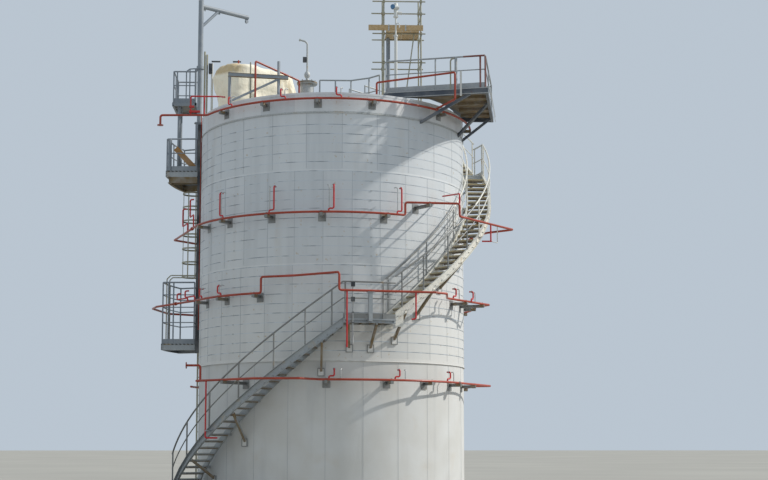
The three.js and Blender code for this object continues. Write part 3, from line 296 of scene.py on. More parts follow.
def tinted_instances(tree, points, item, turn, seed):
    """One copy of an object on each point, each with its own tint."""
    shape = add(tree, "GeometryNodeObjectInfo", {"Object": item, "As Instance": True})
    copies = add(tree, "GeometryNodeInstanceOnPoints", {
        "Points": points,
        "Instance": shape.outputs["Geometry"],
        "Rotation": turn,
    })
    chance = add(tree, "FunctionNodeRandomValue", {"Seed": seed}, data_type="FLOAT")
    return add(tree, "GeometryNodeStoreNamedAttribute", {
        "Geometry": copies.outputs["Instances"],
        "Name": "tint",
        "Value": chance.outputs[1],
    }, data_type="FLOAT", domain="INSTANCE").outputs["Geometry"]


def copies_tree():
    """A copy of an object on each point of the source mesh, turned as the point's own attribute says."""
    tree, given = new_tree("Copies on points", [
        ("Item", "NodeSocketObject", None),
        ("Seed", "NodeSocketInt", 1),
        ("Material", "NodeSocketMaterial", None),
    ])
    turn = add(tree, "GeometryNodeInputNamedAttribute", {"Name": "turn"}, data_type="FLOAT_VECTOR")
    rotation = add(tree, "FunctionNodeEulerToRotation", {"Euler": turn.outputs["Attribute"]})
    spread = tinted_instances(tree, given["Geometry"], given["Item"], rotation.outputs[0], given["Seed"])
    return close_tree(tree, spread, given["Material"])


def around_tree():
    """Copies of an object round the tank's axis at one pitch, each lifted by a rise above the one before."""
    tree, given = new_tree("Copies round the tank", [
        ("Item", "NodeSocketObject", None),
        ("Count", "NodeSocketInt", 12),
        ("First angle", "NodeSocketFloat", 0.0),
        ("Pitch angle", "NodeSocketFloat", 0.5),
        ("Rise", "NodeSocketFloat", 0.0),
        ("Seed", "NodeSocketInt", 1),
        ("Material", "NodeSocketMaterial", None),
    ])
    index = add(tree, "GeometryNodeInputIndex").outputs[0]
    angle = add(
        tree,
        "ShaderNodeMath",
        {0: index, 1: given["Pitch angle"], 2: given["First angle"]},
        operation="MULTIPLY_ADD",
    )
    lift = add(tree, "ShaderNodeMath", {0: index, 1: given["Rise"]}, operation="MULTIPLY")
    place = add(tree, "ShaderNodeCombineXYZ", {"Z": lift.outputs[0]})
    points = add(tree, "GeometryNodePoints", {"Count": given["Count"], "Position": place.outputs[0]})
    turn = add(tree, "ShaderNodeCombineXYZ", {"Z": angle.outputs[0]})
    rotation = add(tree, "FunctionNodeEulerToRotation", {"Euler": turn.outputs[0]})
    spread = tinted_instances(tree, points.outputs[0], given["Item"], rotation.outputs[0], given["Seed"])
    return close_tree(tree, spread, given["Material"])


def strap_tree():
    """A stack of flat hoops round the tank."""
    tree, given = new_tree("Stack of straps", [
        ("Radius", "NodeSocketFloat", 4.2),
        ("Width", "NodeSocketFloat", 0.02),
        ("Thickness", "NodeSocketFloat", 0.002),
        ("Count", "NodeSocketInt", 10),
        ("Pitch", "NodeSocketFloat", 0.275),
        ("Bottom", "NodeSocketFloat", 4.0),
        ("Facets", "NodeSocketInt", 180),
        ("Material", "NodeSocketMaterial", None),
    ])
    start = add(tree, "ShaderNodeCombineXYZ", {"Z": given["Bottom"]})
    step = add(tree, "ShaderNodeCombineXYZ", {"Z": given["Pitch"]})
    line = add(tree, "GeometryNodeMeshLine", {
        "Count": given["Count"],
        "Start Location": start.outputs[0],
        "Offset": step.outputs[0],
    })
    circle = add(
        tree, "GeometryNodeCurvePrimitiveCircle", {"Resolution": given["Facets"], "Radius": given["Radius"]}
    )
    section = add(
        tree,
        "GeometryNodeCurvePrimitiveQuadrilateral",
        {"Width": given["Thickness"], "Height": given["Width"]},
    )
    hoop = add(
        tree,
        "GeometryNodeCurveToMesh",
        {"Curve": circle.outputs["Curve"], "Profile Curve": section.outputs[0]},
    )
    copies = add(
        tree,
        "GeometryNodeInstanceOnPoints",
        {"Points": line.outputs["Mesh"], "Instance": hoop.outputs["Mesh"]},
    )
    return close_tree(tree, copies.outputs["Instances"], given["Material"])


TREES = {}


def tree_named(make):
    if make not in TREES:
        TREES[make] = make()
    return TREES[make]


def grow(mesh, make, values):
    """The plain mesh that a tree makes from a source mesh."""
    tree = tree_named(make)
    source = bpy.data.objects.new("source", mesh)
    bpy.context.scene.collection.objects.link(source)
    modifier = source.modifiers.new("Grow", "NODES")
    modifier.node_group = tree
    for socket in tree.interface.items_tree:
        if socket.in_out == "INPUT" and socket.name in values:
            modifier[socket.identifier] = values[socket.name]
    graph = bpy.context.evaluated_depsgraph_get()
    made = bpy.data.meshes.new_from_object(source.evaluated_get(graph), depsgraph=graph)
    source.modifiers.remove(modifier)
    bpy.data.objects.remove(source)
    return made


# Shapes in mesh code


def oblong(left, right, bottom, top):
    """The outline of an upright oblong, as (across, up) or (radius, height) points."""
    return [(left, bottom), (right, bottom), (right, top), (left, top)]


def beam_section(left, right, bottom, top, web, plate=0.01):
    """The outline of an I-beam, whose web has a half thickness and whose flanges have a thickness."""
    middle = (left + right) / 2
    return [
        (left, bottom), (right, bottom), (right, bottom + plate), (middle + web, bottom + plate),
        (middle + web, top - plate), (right, top - plate), (right, top), (left, top),
        (left, top - plate), (middle - web, top - plate), (middle - web, bottom + plate),
        (left, bottom + plate),
    ]


class Shape:
    """A mesh in the making, to which closed bars, sweeps, prisms and turned parts are added."""

    def __init__(self):
        self.corners = []
        self.faces = []

    def rings(self, rings, closed=False):
        """A skin through rings of like length, capped at both ends unless it closes on itself."""
        first = len(self.corners)
        count = len(rings[0])
        for ring in rings:
            self.corners.extend(ring)
        spans = len(rings) if closed else len(rings) - 1
        for i in range(spans):
            here = first + i * count
            there = first + ((i + 1) % len(rings)) * count
            for k in range(count):
                after = (k + 1) % count
                self.faces.append((here + k, here + after, there + after, there + k))
        if not closed:
            self.faces.append(tuple(reversed(range(first, first + count))))
            last = first + (len(rings) - 1) * count
            self.faces.append(tuple(range(last, last + count)))
        return self

    def bar(self, start, end, width, height, up=UP):
        half_width, half_height = width / 2, height / 2
        outline = oblong(-half_width, half_width, -half_height, half_height)
        return self.profile(start, end, outline, up)

    def spoke(self, inner, outer, angle, z, width, height):
        """A bar that points straight out from the tank's axis."""
        return self.bar(polar(inner, angle, z), polar(outer, angle, z), width, height)

    def profile(self, start, end, outline, up=UP):
        """An outline of (across, up) points carried straight from start to end."""
        along = (end - start).normalized()
        side = up.cross(along).normalized()
        rise = along.cross(side)
        ring = [side * across + rise * height for across, height in outline]
        return self.rings([[start + spot for spot in ring], [end + spot for spot in ring]])

    def box(self, low, high):
        middle_x, middle_y = (low[0] + high[0]) / 2, (low[1] + high[1]) / 2
        start, end = Vector((middle_x, middle_y, low[2])), Vector((middle_x, middle_y, high[2]))
        return self.bar(start, end, high[0] - low[0], high[1] - low[1], Vector((0, 1, 0)))

    def sweep(self, outline, first, last, lift=None, step=1.5):
        """An outline of (radius, height) points carried round the tank's axis."""
        count = max(2, round(abs(last - first) / step) + 1)
        rings = []
        for angle in spaced(first, last, count):
            raised = lift(angle) if lift else 0.0
            rings.append([polar(radius, angle, z + raised) for radius, z in outline])
        return self.rings(rings)

    def hoop(self, outline, step=1.5):
        """An outline of (radius, height) points carried all the way round the tank."""
        count = round(360 / step)
        return self.rings(
            [[polar(radius, i * step, z) for radius, z in outline] for i in range(count)], closed=True
        )

    def turned(self, profile, centre, sides=24):
        """A turned part: a closed (radius, height) profile, or one that starts and ends on the axis."""
        inner = [p for p in profile if p[0] > 0]
        if len(inner) == len(profile):
            turn = 360 / sides
            rings = [[centre + polar(radius, i * turn, z) for radius, z in profile] for i in range(sides)]
            return self.rings(rings, closed=True)
        rings = [
            [centre + polar(max(radius, 0.0005), i * 360 / sides, z) for i in range(sides)]
            for radius, z in profile
        ]
        return self.rings(rings)

    def prism(self, outline, bottom, top):
        return self.rings([[Vector((x, y, z)) for x, y in outline] for z in (bottom, top)])

    def mesh(self, name):
        made = bpy.data.meshes.new(name)
        made.from_pydata([tuple(corner) for corner in self.corners], [], self.faces)
        shape = bmesh.new()
        shape.from_mesh(made)
        bmesh.ops.recalc_face_normals(shape, faces=shape.faces)
        shape.to_mesh(made)
        shape.free()
        return made


def paths_mesh(paths):
    """Polylines as a mesh of loose edges."""
    corners, edges = [], []
    for path in paths:
        first = len(corners)
        corners.extend(tuple(spot) for spot in path)
        edges.extend((i, i + 1) for i in range(first, len(corners) - 1))
    made = bpy.data.meshes.new("paths")
    made.from_pydata(corners, edges, [])
    return made


def places_mesh(places):
    """Places as loose points, each with its own turn."""
    made = bpy.data.meshes.new("places")
    made.from_pydata([tuple(spot) for spot, turn in places], [], [])
    turns = made.attributes.new("turn", "FLOAT_VECTOR", "POINT")
    turns.data.foreach_set("vector", [value for spot, turn in places for value in turn])
    return made


def tubes(paths, diameter, finish, bend=0.0, sides=12):
    values = {"Diameter": diameter, "Bend radius": bend, "Sides": sides, "Material": finish}
    return grow(paths_mesh(paths), tube_tree, values)


def with_item(shape, grown):
    """Grows a mesh from copies of a shape, whose own object is removed afterwards."""
    item = bpy.data.objects.new("item", shape.mesh("item"))
    bpy.context.scene.collection.objects.link(item)
    made = grown(item)
    bpy.data.objects.remove(item)
    return made


def copies(shape, places, finish, seed=1):
    values = {"Seed": seed, "Material": finish}
    return with_item(shape, lambda item: grow(places_mesh(places), copies_tree, {**values, "Item": item}))


def copies_at(shape, spots, finish, seed=1):
    """Copies of a shape that keep the way it faces."""
    return copies(shape, [(spot, (0, 0, 0)) for spot in spots], finish, seed)


def copies_round(shape, levels, finish, seed=1):
    """Copies of a shape that is modelled at the front: one for each (angle, level)."""
    return copies(
        shape, [(Vector((0, 0, level)), (0, 0, math.radians(angle))) for angle, level in levels], finish, seed
    )


def pattern_round(shape, count, first, pitch, finish, rise=0.0, seed=1):
    values = {
        "Count": count,
        "First angle": math.radians(first),
        "Pitch angle": math.radians(pitch),
        "Rise": rise,
        "Seed": seed,
        "Material": finish,
    }
    return with_item(
        shape, lambda item: grow(bpy.data.meshes.new("none"), around_tree, {**values, "Item": item})
    )


def piece(name, meshes, finish, body="tank", replaces=(), crease=32.0):
    """Joins meshes and shapes into one piece that rides on a body."""
    whole = bmesh.new()
    for part in meshes if isinstance(meshes, (list, tuple)) else [meshes]:
        mesh = part.mesh(name) if isinstance(part, Shape) else part
        whole.from_mesh(mesh)
        bpy.data.meshes.remove(mesh)
    made = bpy.data.meshes.new(name)
    whole.to_mesh(made)
    whole.free()
    made.materials.clear()
    made.materials.append(finish)
    made.polygons.foreach_set("material_index", [0] * len(made.polygons))
    made.polygons.foreach_set("use_smooth", [True] * len(made.polygons))
    made.set_sharp_from_angle(angle=math.radians(crease))
    thing = bpy.data.objects.new(name, made)
    bpy.context.scene.collection.objects.link(thing)
    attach(thing, body)
    if replaces:
        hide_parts(*replaces)
    return thing


def tube_piece(name, paths, diameter, finish, bend=0.0, sides=12, replaces=()):
    return piece(name, tubes(paths, diameter, finish, bend, sides), finish, replaces=replaces)


# Finishes


Finish = namedtuple("Finish", "material tree shader place")


def new_finish(name):
    """A material with its tree, the tree's shader and its object coordinates."""
    material = bpy.data.materials.new(name)
    material.use_nodes = True
    tree = material.node_tree
    tree.nodes.clear()
    shader = add(tree, "ShaderNodeBsdfPrincipled")
    add(tree, "ShaderNodeOutputMaterial", {"Surface": shader.outputs["BSDF"]})
    return Finish(material, tree, shader, add(tree, "ShaderNodeTexCoord").outputs["Object"])


def patches(tree, place, size, low, high, detail=4.0, stretch=(1, 1, 1), seed=0.0):
    """A soft mask with patches of about a size in millimetres."""
    mapped = add(
        tree, "ShaderNodeMapping", {"Vector": place, "Scale": stretch, "Location": (seed, seed, seed)}
    )
    cloud = add(
        tree, "ShaderNodeTexNoise", {"Vector": mapped.outputs[0], "Scale": 1000 / size, "Detail": detail}
    )
    return add(
        tree, "ShaderNodeMapRange", {"Value": cloud.outputs[0], "From Min": low, "From Max": high}
    ).outputs[0]


def wave_scale(pitch):
    """The scale at which a wave texture repeats at a pitch in millimetres."""
    return 1000 * math.pi / 10 / pitch


def tinted(tree, mask, under, over, share=1.0):
    """One colour laid over another where a mask is high."""
    amount = add(tree, "ShaderNodeMath", {0: mask, 1: share}, operation="MULTIPLY").outputs[0]
    mix = add(tree, "ShaderNodeMix", {0: amount, 6: under, 7: over}, data_type="RGBA")
    return mix.outputs[2]


def surfaced(made, colour, relief, depth, mask, low, high, metal=0.0):
    """Ends a finish: colour, relief in millimetres, and roughness where a mask is low and high."""
    made.tree.links.new(colour, made.shader.inputs["Base Color"])
    bump = add(made.tree, "ShaderNodeBump", {"Height": relief, "Distance": depth / 1000, "Strength": 1.0})
    made.tree.links.new(bump.outputs[0], made.shader.inputs["Normal"])
    spread = add(made.tree, "ShaderNodeMapRange", {"Value": mask, "To Min": low, "To Max": high})
    made.tree.links.new(spread.outputs[0], made.shader.inputs["Roughness"])
    made.shader.inputs["Metallic"].default_value = metal
    return made.material


def coated_aluminium(colours, name, base):
    """Coated aluminium sheet: a dull sheen, rain streaks, yellow run-off and a faint dishing."""
    made = new_finish(name)
    tree, place = made.tree, made.place
    tint = add(tree, "ShaderNodeAttribute", attribute_name="tint").outputs["Fac"]
    colour = tinted(tree, tint, base, colours.sheet_shade, 0.7)
    streaks = patches(tree, place, 300, 0.48, 0.72, stretch=(1, 1, 0.07), seed=3.0)
    colour = tinted(tree, streaks, colour, colours.grime, 0.15)
    run_off = patches(tree, place, 700, 0.58, 0.76, stretch=(1, 1, 0.22), seed=11.0)
    colour = tinted(tree, run_off, colour, colours.rust_wash, 0.14)
    # Warmer from 8.5 m down to 4 m: partly dust at the foot, and partly painted sky light, so that the upper
    # wall keeps a cooler, sky-lit tone.
    height = add(tree, "ShaderNodeSeparateXYZ", {0: place}).outputs["Z"]
    dust = add(tree, "ShaderNodeMapRange", {"Value": height, "From Min": 8.5, "From Max": 4.0}).outputs[0]
    colour = tinted(tree, dust, colour, colours.dust, 0.5)
    spots = patches(tree, place, 110, 0.67, 0.73, seed=7.0)
    colour = tinted(tree, spots, colour, colours.rust_wash, 0.5)
    dishing = patches(tree, place, 700, 0.2, 0.8, detail=1.0, seed=5.0)
    return surfaced(made, colour, dishing, 6, streaks, 0.45, 0.6, metal=0.12)


def banding_steel(colours):
    """Stainless banding: blue-grey in the shade and glinting where the sun is on it, with painted shade in
    dashes along it that also change its roughness.
    """
    made = new_finish("stainless_banding")
    tree, place = made.tree, made.place
    # Painted shade: dark dashes along each strap stand for the shading at the bands' laps.
    dashes = patches(tree, place, 420, 0.46, 0.62, detail=2.0, stretch=(1, 1, 9), seed=17.0)
    colour = tinted(tree, dashes, colours.strap, colours.strap_painted_shade, 0.75)
    stain = patches(tree, place, 240, 0.66, 0.74, stretch=(1, 1, 5), seed=19.0)
    colour = tinted(tree, stain, colour, colours.rust_wash, 0.35)
    drawn = patches(tree, place, 60, 0.3, 0.7, seed=18.0)
    return surfaced(made, colour, drawn, 0.5, dashes, 0.34, 0.5, metal=0.85)


def stained_steel(colours, name, base, seed):
    """Galvanised steel under a brown film of dust and run-off, with the zinc showing through in places."""
    made = new_finish(name)
    tree, place = made.tree, made.place
    film = patches(tree, place, 220, 0.35, 0.65, seed=seed)
    colour = tinted(tree, film, base, colours.zinc, 0.4)
    rust = patches(tree, place, 140, 0.55, 0.7, seed=seed + 1)
    colour = tinted(tree, rust, colour, colours.rust, 0.35)
    grain = patches(tree, place, 30, 0.3, 0.7, seed=seed + 2)
    return surfaced(made, colour, grain, 0.6, film, 0.6, 0.8)


def sealant(colours):
    """Grey sealant in the sheets' joints, dark enough to stand also as painted shadow of each lap: dull rubber
    with dust on its high spots.
    """
    made = new_finish("joint_sealant_and_painted_lap_shadow")
    tree, place = made.tree, made.place
    dust = patches(tree, place, 180, 0.4, 0.7, seed=23.0)
    colour = tinted(tree, dust, colours.sealant, colours.grime, 0.5)
    skin = patches(tree, place, 15, 0.3, 0.7, seed=24.0)
    return surfaced(made, colour, skin, 0.4, dust, 0.6, 0.85)


def fireproof_render(colours):
    """Trowelled mastic over the lowest course: matt, with soft blotches and a fine stipple."""
    made = new_finish("trowelled_mastic")
    tree, place = made.tree, made.place
    blotches = patches(tree, place, 800, 0.35, 0.7, seed=2.0)
    colour = tinted(tree, blotches, colours.lower_course, colours.sheet, 0.45)
    streaks = patches(tree, place, 500, 0.52, 0.75, stretch=(1, 1, 0.12), seed=9.0)
    colour = tinted(tree, streaks, colour, colours.grime, 0.22)
    wash = patches(tree, place, 1100, 0.58, 0.76, seed=21.0)
    colour = tinted(tree, wash, colour, colours.rust_wash, 0.2)
    stipple = patches(tree, place, 25, 0.2, 0.8, seed=4.0)
    return surfaced(made, colour, stipple, 1.5, blotches, 0.55, 0.75)


def galvanised_steel(colours, name="galvanised_steel", base=None, metal=0.35):
    """Hot-dip galvanised steel: a dull grey spangle, white bloom and brown stains at the laps."""
    made = new_finish(name)
    tree, place = made.tree, made.place
    spangle = add(tree, "ShaderNodeTexVoronoi", {"Vector": place, "Scale": 1000 / 40})
    grey = base or colours.zinc
    colour = tinted(tree, spangle.outputs["Distance"], grey, colours.zinc_shade, 0.5)
    bloom = patches(tree, place, 300, 0.5, 0.75, seed=1.0)
    colour = tinted(tree, bloom, colour, colours.zinc_bloom, 0.4)
    stain = patches(tree, place, 260, 0.6, 0.74, seed=8.0)
    colour = tinted(tree, stain, colour, colours.rust_wash, 0.45)
    ripple = patches(tree, place, 60, 0.3, 0.7, seed=6.0)
    return surfaced(made, colour, ripple, 0.6, bloom, 0.42, 0.62, metal)


def gloss_enamel(colours, name, base):
    """Red alkyd enamel on pipe: gloss that has chalked pink on top and kept a few dark chips."""
    made = new_finish(name)
    tree, place = made.tree, made.place
    chalk = patches(tree, place, 350, 0.45, 0.75, seed=12.0)
    colour = tinted(tree, chalk, base, colours.red_faded, 0.4)
    chips = patches(tree, place, 70, 0.68, 0.72, seed=13.0)
    colour = tinted(tree, chips, colour, colours.red_dark, 0.8)
    peel = patches(tree, place, 30, 0.3, 0.7, seed=14.0)
    return surfaced(made, colour, peel, 0.4, chalk, 0.32, 0.55)


def satin_paint(colours, name, base, seed):
    """Satin epoxy on structural steel: even, with rust at a few chips and dust on it."""
    made = new_finish(name)
    tree, place = made.tree, made.place
    dust = patches(tree, place, 500, 0.4, 0.7, seed=seed)
    colour = tinted(tree, dust, base, colours.zinc_bloom, 0.25)
    chips = patches(tree, place, 110, 0.69, 0.74, seed=seed + 1)
    colour = tinted(tree, chips, colour, colours.rust, 0.6)
    peel = patches(tree, place, 40, 0.3, 0.7, seed=seed + 2)
    return surfaced(made, colour, peel, 0.5, dust, 0.42, 0.6)


def coated_cloth(colours):
    """Coated woven sheeting: pale cream with tan soiling, tan painted shade over the folded flap at the top
    left, and a weave drawn at 12 mm so that it shows.
    """
    made = new_finish("coated_woven_sheeting")
    tree, place = made.tree, made.place
    soil = patches(tree, place, 620, 0.52, 0.68, stretch=(1, 1, 0.6), seed=35.0)
    colour = tinted(tree, soil, colours.tarpaulin, colours.tarpaulin_soil_and_fold_shade, 0.18)
    # Painted shade: the top left, where the flap folds over, is tinted tan along with its soiling.
    spread = add(tree, "ShaderNodeSeparateXYZ", {0: place})
    left = add(
        tree, "ShaderNodeMapRange", {"Value": spread.outputs["X"], "From Min": -2.7, "From Max": -3.0}
    ).outputs[0]
    top = add(
        tree, "ShaderNodeMapRange", {"Value": spread.outputs["Z"], "From Min": 13.16, "From Max": 13.26}
    ).outputs[0]
    folded_flap_soil_and_shade = add(tree, "ShaderNodeMath", {0: left, 1: top}, operation="MULTIPLY").outputs[0]
    colour = tinted(tree, folded_flap_soil_and_shade, colour, colours.tarpaulin_soil_and_fold_shade, 0.75)
    right = add(
        tree, "ShaderNodeMapRange", {"Value": spread.outputs["X"], "From Min": -2.05, "From Max": -1.8}
    ).outputs[0]
    runs = patches(tree, place, 260, 0.5, 0.6, stretch=(1, 1, 0.15), seed=38.0)
    streaks = add(tree, "ShaderNodeMath", {0: right, 1: runs}, operation="MULTIPLY").outputs[0]
    colour = tinted(tree, streaks, colour, colours.tarpaulin_soil_and_fold_shade, 0.5)
    fine = patches(tree, place, 160, 0.55, 0.7, seed=32.0)
    colour = tinted(tree, fine, colour, colours.sheet_shade, 0.2)
    weave = add(
        tree,
        "ShaderNodeTexWave",
        {"Vector": place, "Scale": wave_scale(12), "Distortion": 0.6},
        bands_direction="Z",
    )
    creases = patches(tree, place, 260, 0.3, 0.7, detail=6.0, seed=33.0)
    height = add(
        tree, "ShaderNodeMath", {0: creases, 1: 14.0, 2: weave.outputs["Fac"]}, operation="MULTIPLY_ADD"
    )
    made.shader.inputs["Sheen Weight"].default_value = 0.15
    return surfaced(made, colour, height.outputs[0], 1.2, soil, 0.55, 0.8)


def sawn_timber(colours):
    """Sawn spruce boards: a long grain, with some boards paler than others."""
    made = new_finish("sawn_spruce")
    tree, place = made.tree, made.place
    grain = patches(tree, place, 60, 0.3, 0.7, detail=6.0, stretch=(1, 0.06, 1), seed=41.0)
    colour = tinted(tree, grain, colours.timber, colours.timber_shade, 0.6)
    tint = add(tree, "ShaderNodeAttribute", attribute_name="tint").outputs["Fac"]
    colour = tinted(tree, tint, colour, colours.timber_pale, 0.5)
    return surfaced(made, colour, grain, 1.5, grain, 0.7, 0.9)


def cast_concrete(colours):
    """Cast concrete: float marks, pores and damp stains."""
    made = new_finish("cast_concrete")
    tree, place = made.tree, made.place
    cloud = patches(tree, place, 600, 0.3, 0.7, seed=51.0)
    colour = tinted(tree, cloud, colours.concrete, colours.concrete_damp, 0.6)
    pores = patches(tree, place, 30, 0.62, 0.7, seed=52.0)
    colour = tinted(tree, pores, colour, colours.concrete_damp, 0.6)
    return surfaced(made, colour, pores, 2, cloud, 0.8, 0.95)


def open_grating(colours):
    """Pressed steel grating on a solid deck: bearing bars drawn at 60 mm, twice their real pitch, so that they
    show, with painted shade in the gaps between them.
    """
    made = new_finish("pressed_grating")
    tree, place = made.tree, made.place
    bars = add(
        tree, "ShaderNodeTexWave", {"Vector": place, "Scale": wave_scale(60)}, bands_direction="DIAGONAL"
    )
    # Painted shade: dark stripes stand for the see-through gaps, which the solid deck doesn't have.
    colour = tinted(tree, bars.outputs["Fac"], colours.grating_gap_painted_shade, colours.zinc, 0.85)
    stain = patches(tree, place, 260, 0.5, 0.7, seed=61.0)
    colour = tinted(tree, stain, colour, colours.rust_wash, 0.5)
    return surfaced(made, colour, bars.outputs["Fac"], 6, stain, 0.5, 0.7, metal=0.3)


def pale_floor():
    """The stage's matt floor, in two close tones."""
    made = new_finish("matt_floor")
    cloud = patches(made.tree, made.place, 9000, 0.3, 0.7)
    colour = tinted(made.tree, cloud, *(hex_colour(tone) for tone in FLOOR_TONES))
    made.tree.links.new(colour, made.shader.inputs["Base Color"])
    made.shader.inputs["Roughness"].default_value = 0.9
    return made.material


FINISHES = {}


def finish_named(name):
    """Each finish is made once, from the colours set on the scene."""
    if name not in FINISHES:
        colours = bpy.context.scene.tank_colours
        makers = {
            "cladding": lambda: coated_aluminium(colours, "coated_aluminium_sheet", colours.sheet),
            "roof": lambda: coated_aluminium(colours, "dull_roof_sheet", colours.roof),
            "lower_course": lambda: fireproof_render(colours),
            "strap": lambda: banding_steel(colours),
            "sealant": lambda: sealant(colours),
            "zinc": lambda: galvanised_steel(colours),
            "nosing": lambda: stained_steel(colours, "dusty_nosing_steel", colours.nosing, 67.0),
            "pale_zinc": lambda: galvanised_steel(
                colours, "bright_galvanised_steel", colours.pale_zinc, 0.15
            ),
            # Painted light: a paler copy of galvanised steel for the stringers and rails that face the sun.
            "stringer": lambda: galvanised_steel(
                colours, "galvanised_steel_painted_sunlit", colours.painted_sunlit_zinc, 0.08
            ),
            "olive": lambda: galvanised_steel(colours, "weathered_galvanised_tube", colours.olive),
            "bracket": lambda: galvanised_steel(colours, "bracket_steel", colours.bracket),
            "stained": lambda: stained_steel(colours, "stained_steel", colours.stain, 61.0),
            "tread": lambda: stained_steel(colours, "stained_tread_steel", colours.tread, 65.0),
            "grating": lambda: open_grating(colours),
            "red": lambda: gloss_enamel(colours, "weathered_red_enamel", colours.red),
            "branch_red": lambda: gloss_enamel(colours, "red_enamel", colours.branch_red),
            "blue_grey": lambda: satin_paint(colours, "blue_grey_epoxy", colours.blue_grey, 71.0),
            "slate": lambda: satin_paint(colours, "slate_epoxy", colours.slate, 73.0),
            "oxide": lambda: satin_paint(colours, "red_oxide_primer", colours.oxide, 93.0),
            "dark": lambda: satin_paint(colours, "dark_duct_paint", colours.dark, 75.0),
            "white": lambda: satin_paint(colours, "white_epoxy", colours.white, 81.0),
            "ochre": lambda: satin_paint(colours, "ochre_primer", colours.ochre, 91.0),
            "cap_blue": lambda: satin_paint(colours, "blue_cap_paint", colours.cap_blue, 95.0),
            "tarpaulin": lambda: coated_cloth(colours),
            "timber": lambda: sawn_timber(colours),
            "concrete": lambda: cast_concrete(colours),
        }
        FINISHES[name] = makers[name]()
    return FINISHES[name]


def colour_property(label, text, use):
    return bpy.props.FloatVectorProperty(
        name=label, description=use, subtype="COLOR", size=4, min=0, max=1, default=hex_colour(text)
    )


class TankColours(bpy.types.PropertyGroup):
    """The colours of the tank's finishes"""

    sheet: colour_property("Sheet", "#DADCDC", "Coated sheet of the wall")
    # Dust, and painted sky light: its warmth at the foot leaves the upper wall in the cooler tone of the sky's
    # light.
    dust: colour_property("Dust", "#D8D3C8", "Dust that thickens towards the foot of the wall")
    sheet_shade: colour_property("Sheet shade", "#C2C7CA", "The darker sheets of the wall")
    lower_course: colour_property("Lower course", "#CBCAC5", "Mastic on the lowest course")
    roof: colour_property("Roof", "#B9BAB6", "Coated sheet of the roof")
    grime: colour_property("Grime", "#8E9296", "Rain streaks")
    rust_wash: colour_property("Rust wash", "#B79B6A", "Yellow-brown run-off")
    rust: colour_property("Rust", "#7A4A2C", "Rust at chips")
    strap: colour_property("Strap", "#CBD0D3", "Stainless straps")
    # Painted shade: the dark colour of the dashes along the straps.
    strap_painted_shade: colour_property("Strap painted shade", "#6E7780", "Painted shade in dashes along the straps")
    # Sealant, and painted shadow of the laps along the seams.
    sealant: colour_property("Sealant", "#9CA2A6", "Sealant in the sheets' joints")
    zinc: colour_property("Zinc", "#A9ADAE", "Galvanised steel")
    zinc_shade: colour_property("Zinc shade", "#84898C", "Dark spangles")
    zinc_bloom: colour_property("Zinc bloom", "#C6C8C5", "White bloom and dust")
    # Painted light: the sunlit tone of the stair's galvanised steel.
    painted_sunlit_zinc: colour_property("Painted sunlit zinc", "#F0ECDF", "Stringers and rails that face the sun")
    # Also the painted sunlit copy of the railings on the rest and roof landings.
    pale_zinc: colour_property("Pale zinc", "#C3C5C2", "The newest galvanised steel")
    olive: colour_property("Olive", "#ABA588", "Weathered tube")
    # Also the painted shaded copy of the railings on the lower flight and its landing.
    bracket: colour_property("Bracket", "#85847F", "Bracket steel")
    stain: colour_property("Stain", "#7B6743", "Brown film on steel")
    nosing: colour_property("Nosing", "#BFAE80", "Dusty nosings of the treads")
    tread: colour_property("Tread", "#6E6047", "Brown film on the treads")
    # Painted shade seen through the gaps of a grating.
    grating_gap_painted_shade: colour_property("Grating gap", "#33312D", "The gaps of a grating")
    red: colour_property("Red", "#9E3D26", "Weathered enamel of the mains")
    branch_red: colour_property("Fresh red", "#C0282B", "Enamel of the branches")
    red_faded: colour_property("Faded red", "#CE5B4C", "Chalked enamel")
    red_dark: colour_property("Dark red", "#5E1712", "Chips in the enamel")
    blue_grey: colour_property("Blue-grey", "#848C94", "Epoxy of the platforms")
    slate: colour_property("Slate", "#474F5A", "Paint of the walkway's edge beam")
    oxide: colour_property("Oxide", "#7C4136", "Primer on the last posts of the walkway")
    dark: colour_property("Dark grey", "#2A2D31", "Paint of the cable duct")
    white: colour_property("White", "#D6D6D0", "Epoxy of the masts")
    ochre: colour_property("Ochre", "#A8752A", "Primer on loose steel")
    cap_blue: colour_property("Cap blue", "#2F6E9B", "Paint of the instrument's cap")
    tarpaulin: colour_property("Tarpaulin", "#FFF5DC", "Coated sheeting")
    # Soiling, and the painted shade of the folded flap.
    tarpaulin_soil_and_fold_shade: colour_property("Soiled tarpaulin", "#C2A56C", "Soiling and painted shade in the folds")
    timber: colour_property("Timber", "#CDB086", "Scaffold boards")
    timber_shade: colour_property("Timber grain", "#A58A5E", "Grain of the boards")
    timber_pale: colour_property("Pale timber", "#E0CFAC", "The newer boards")
    concrete: colour_property("Concrete", "#A8A49A", "Cast concrete")
    concrete_damp: colour_property("Damp concrete", "#857F73", "Damp and pores")


def length_property(label, value, use, low=0.0, high=10.0):
    return bpy.props.FloatProperty(
        name=label, description=use, default=value, min=low, max=high, unit="LENGTH"
    )


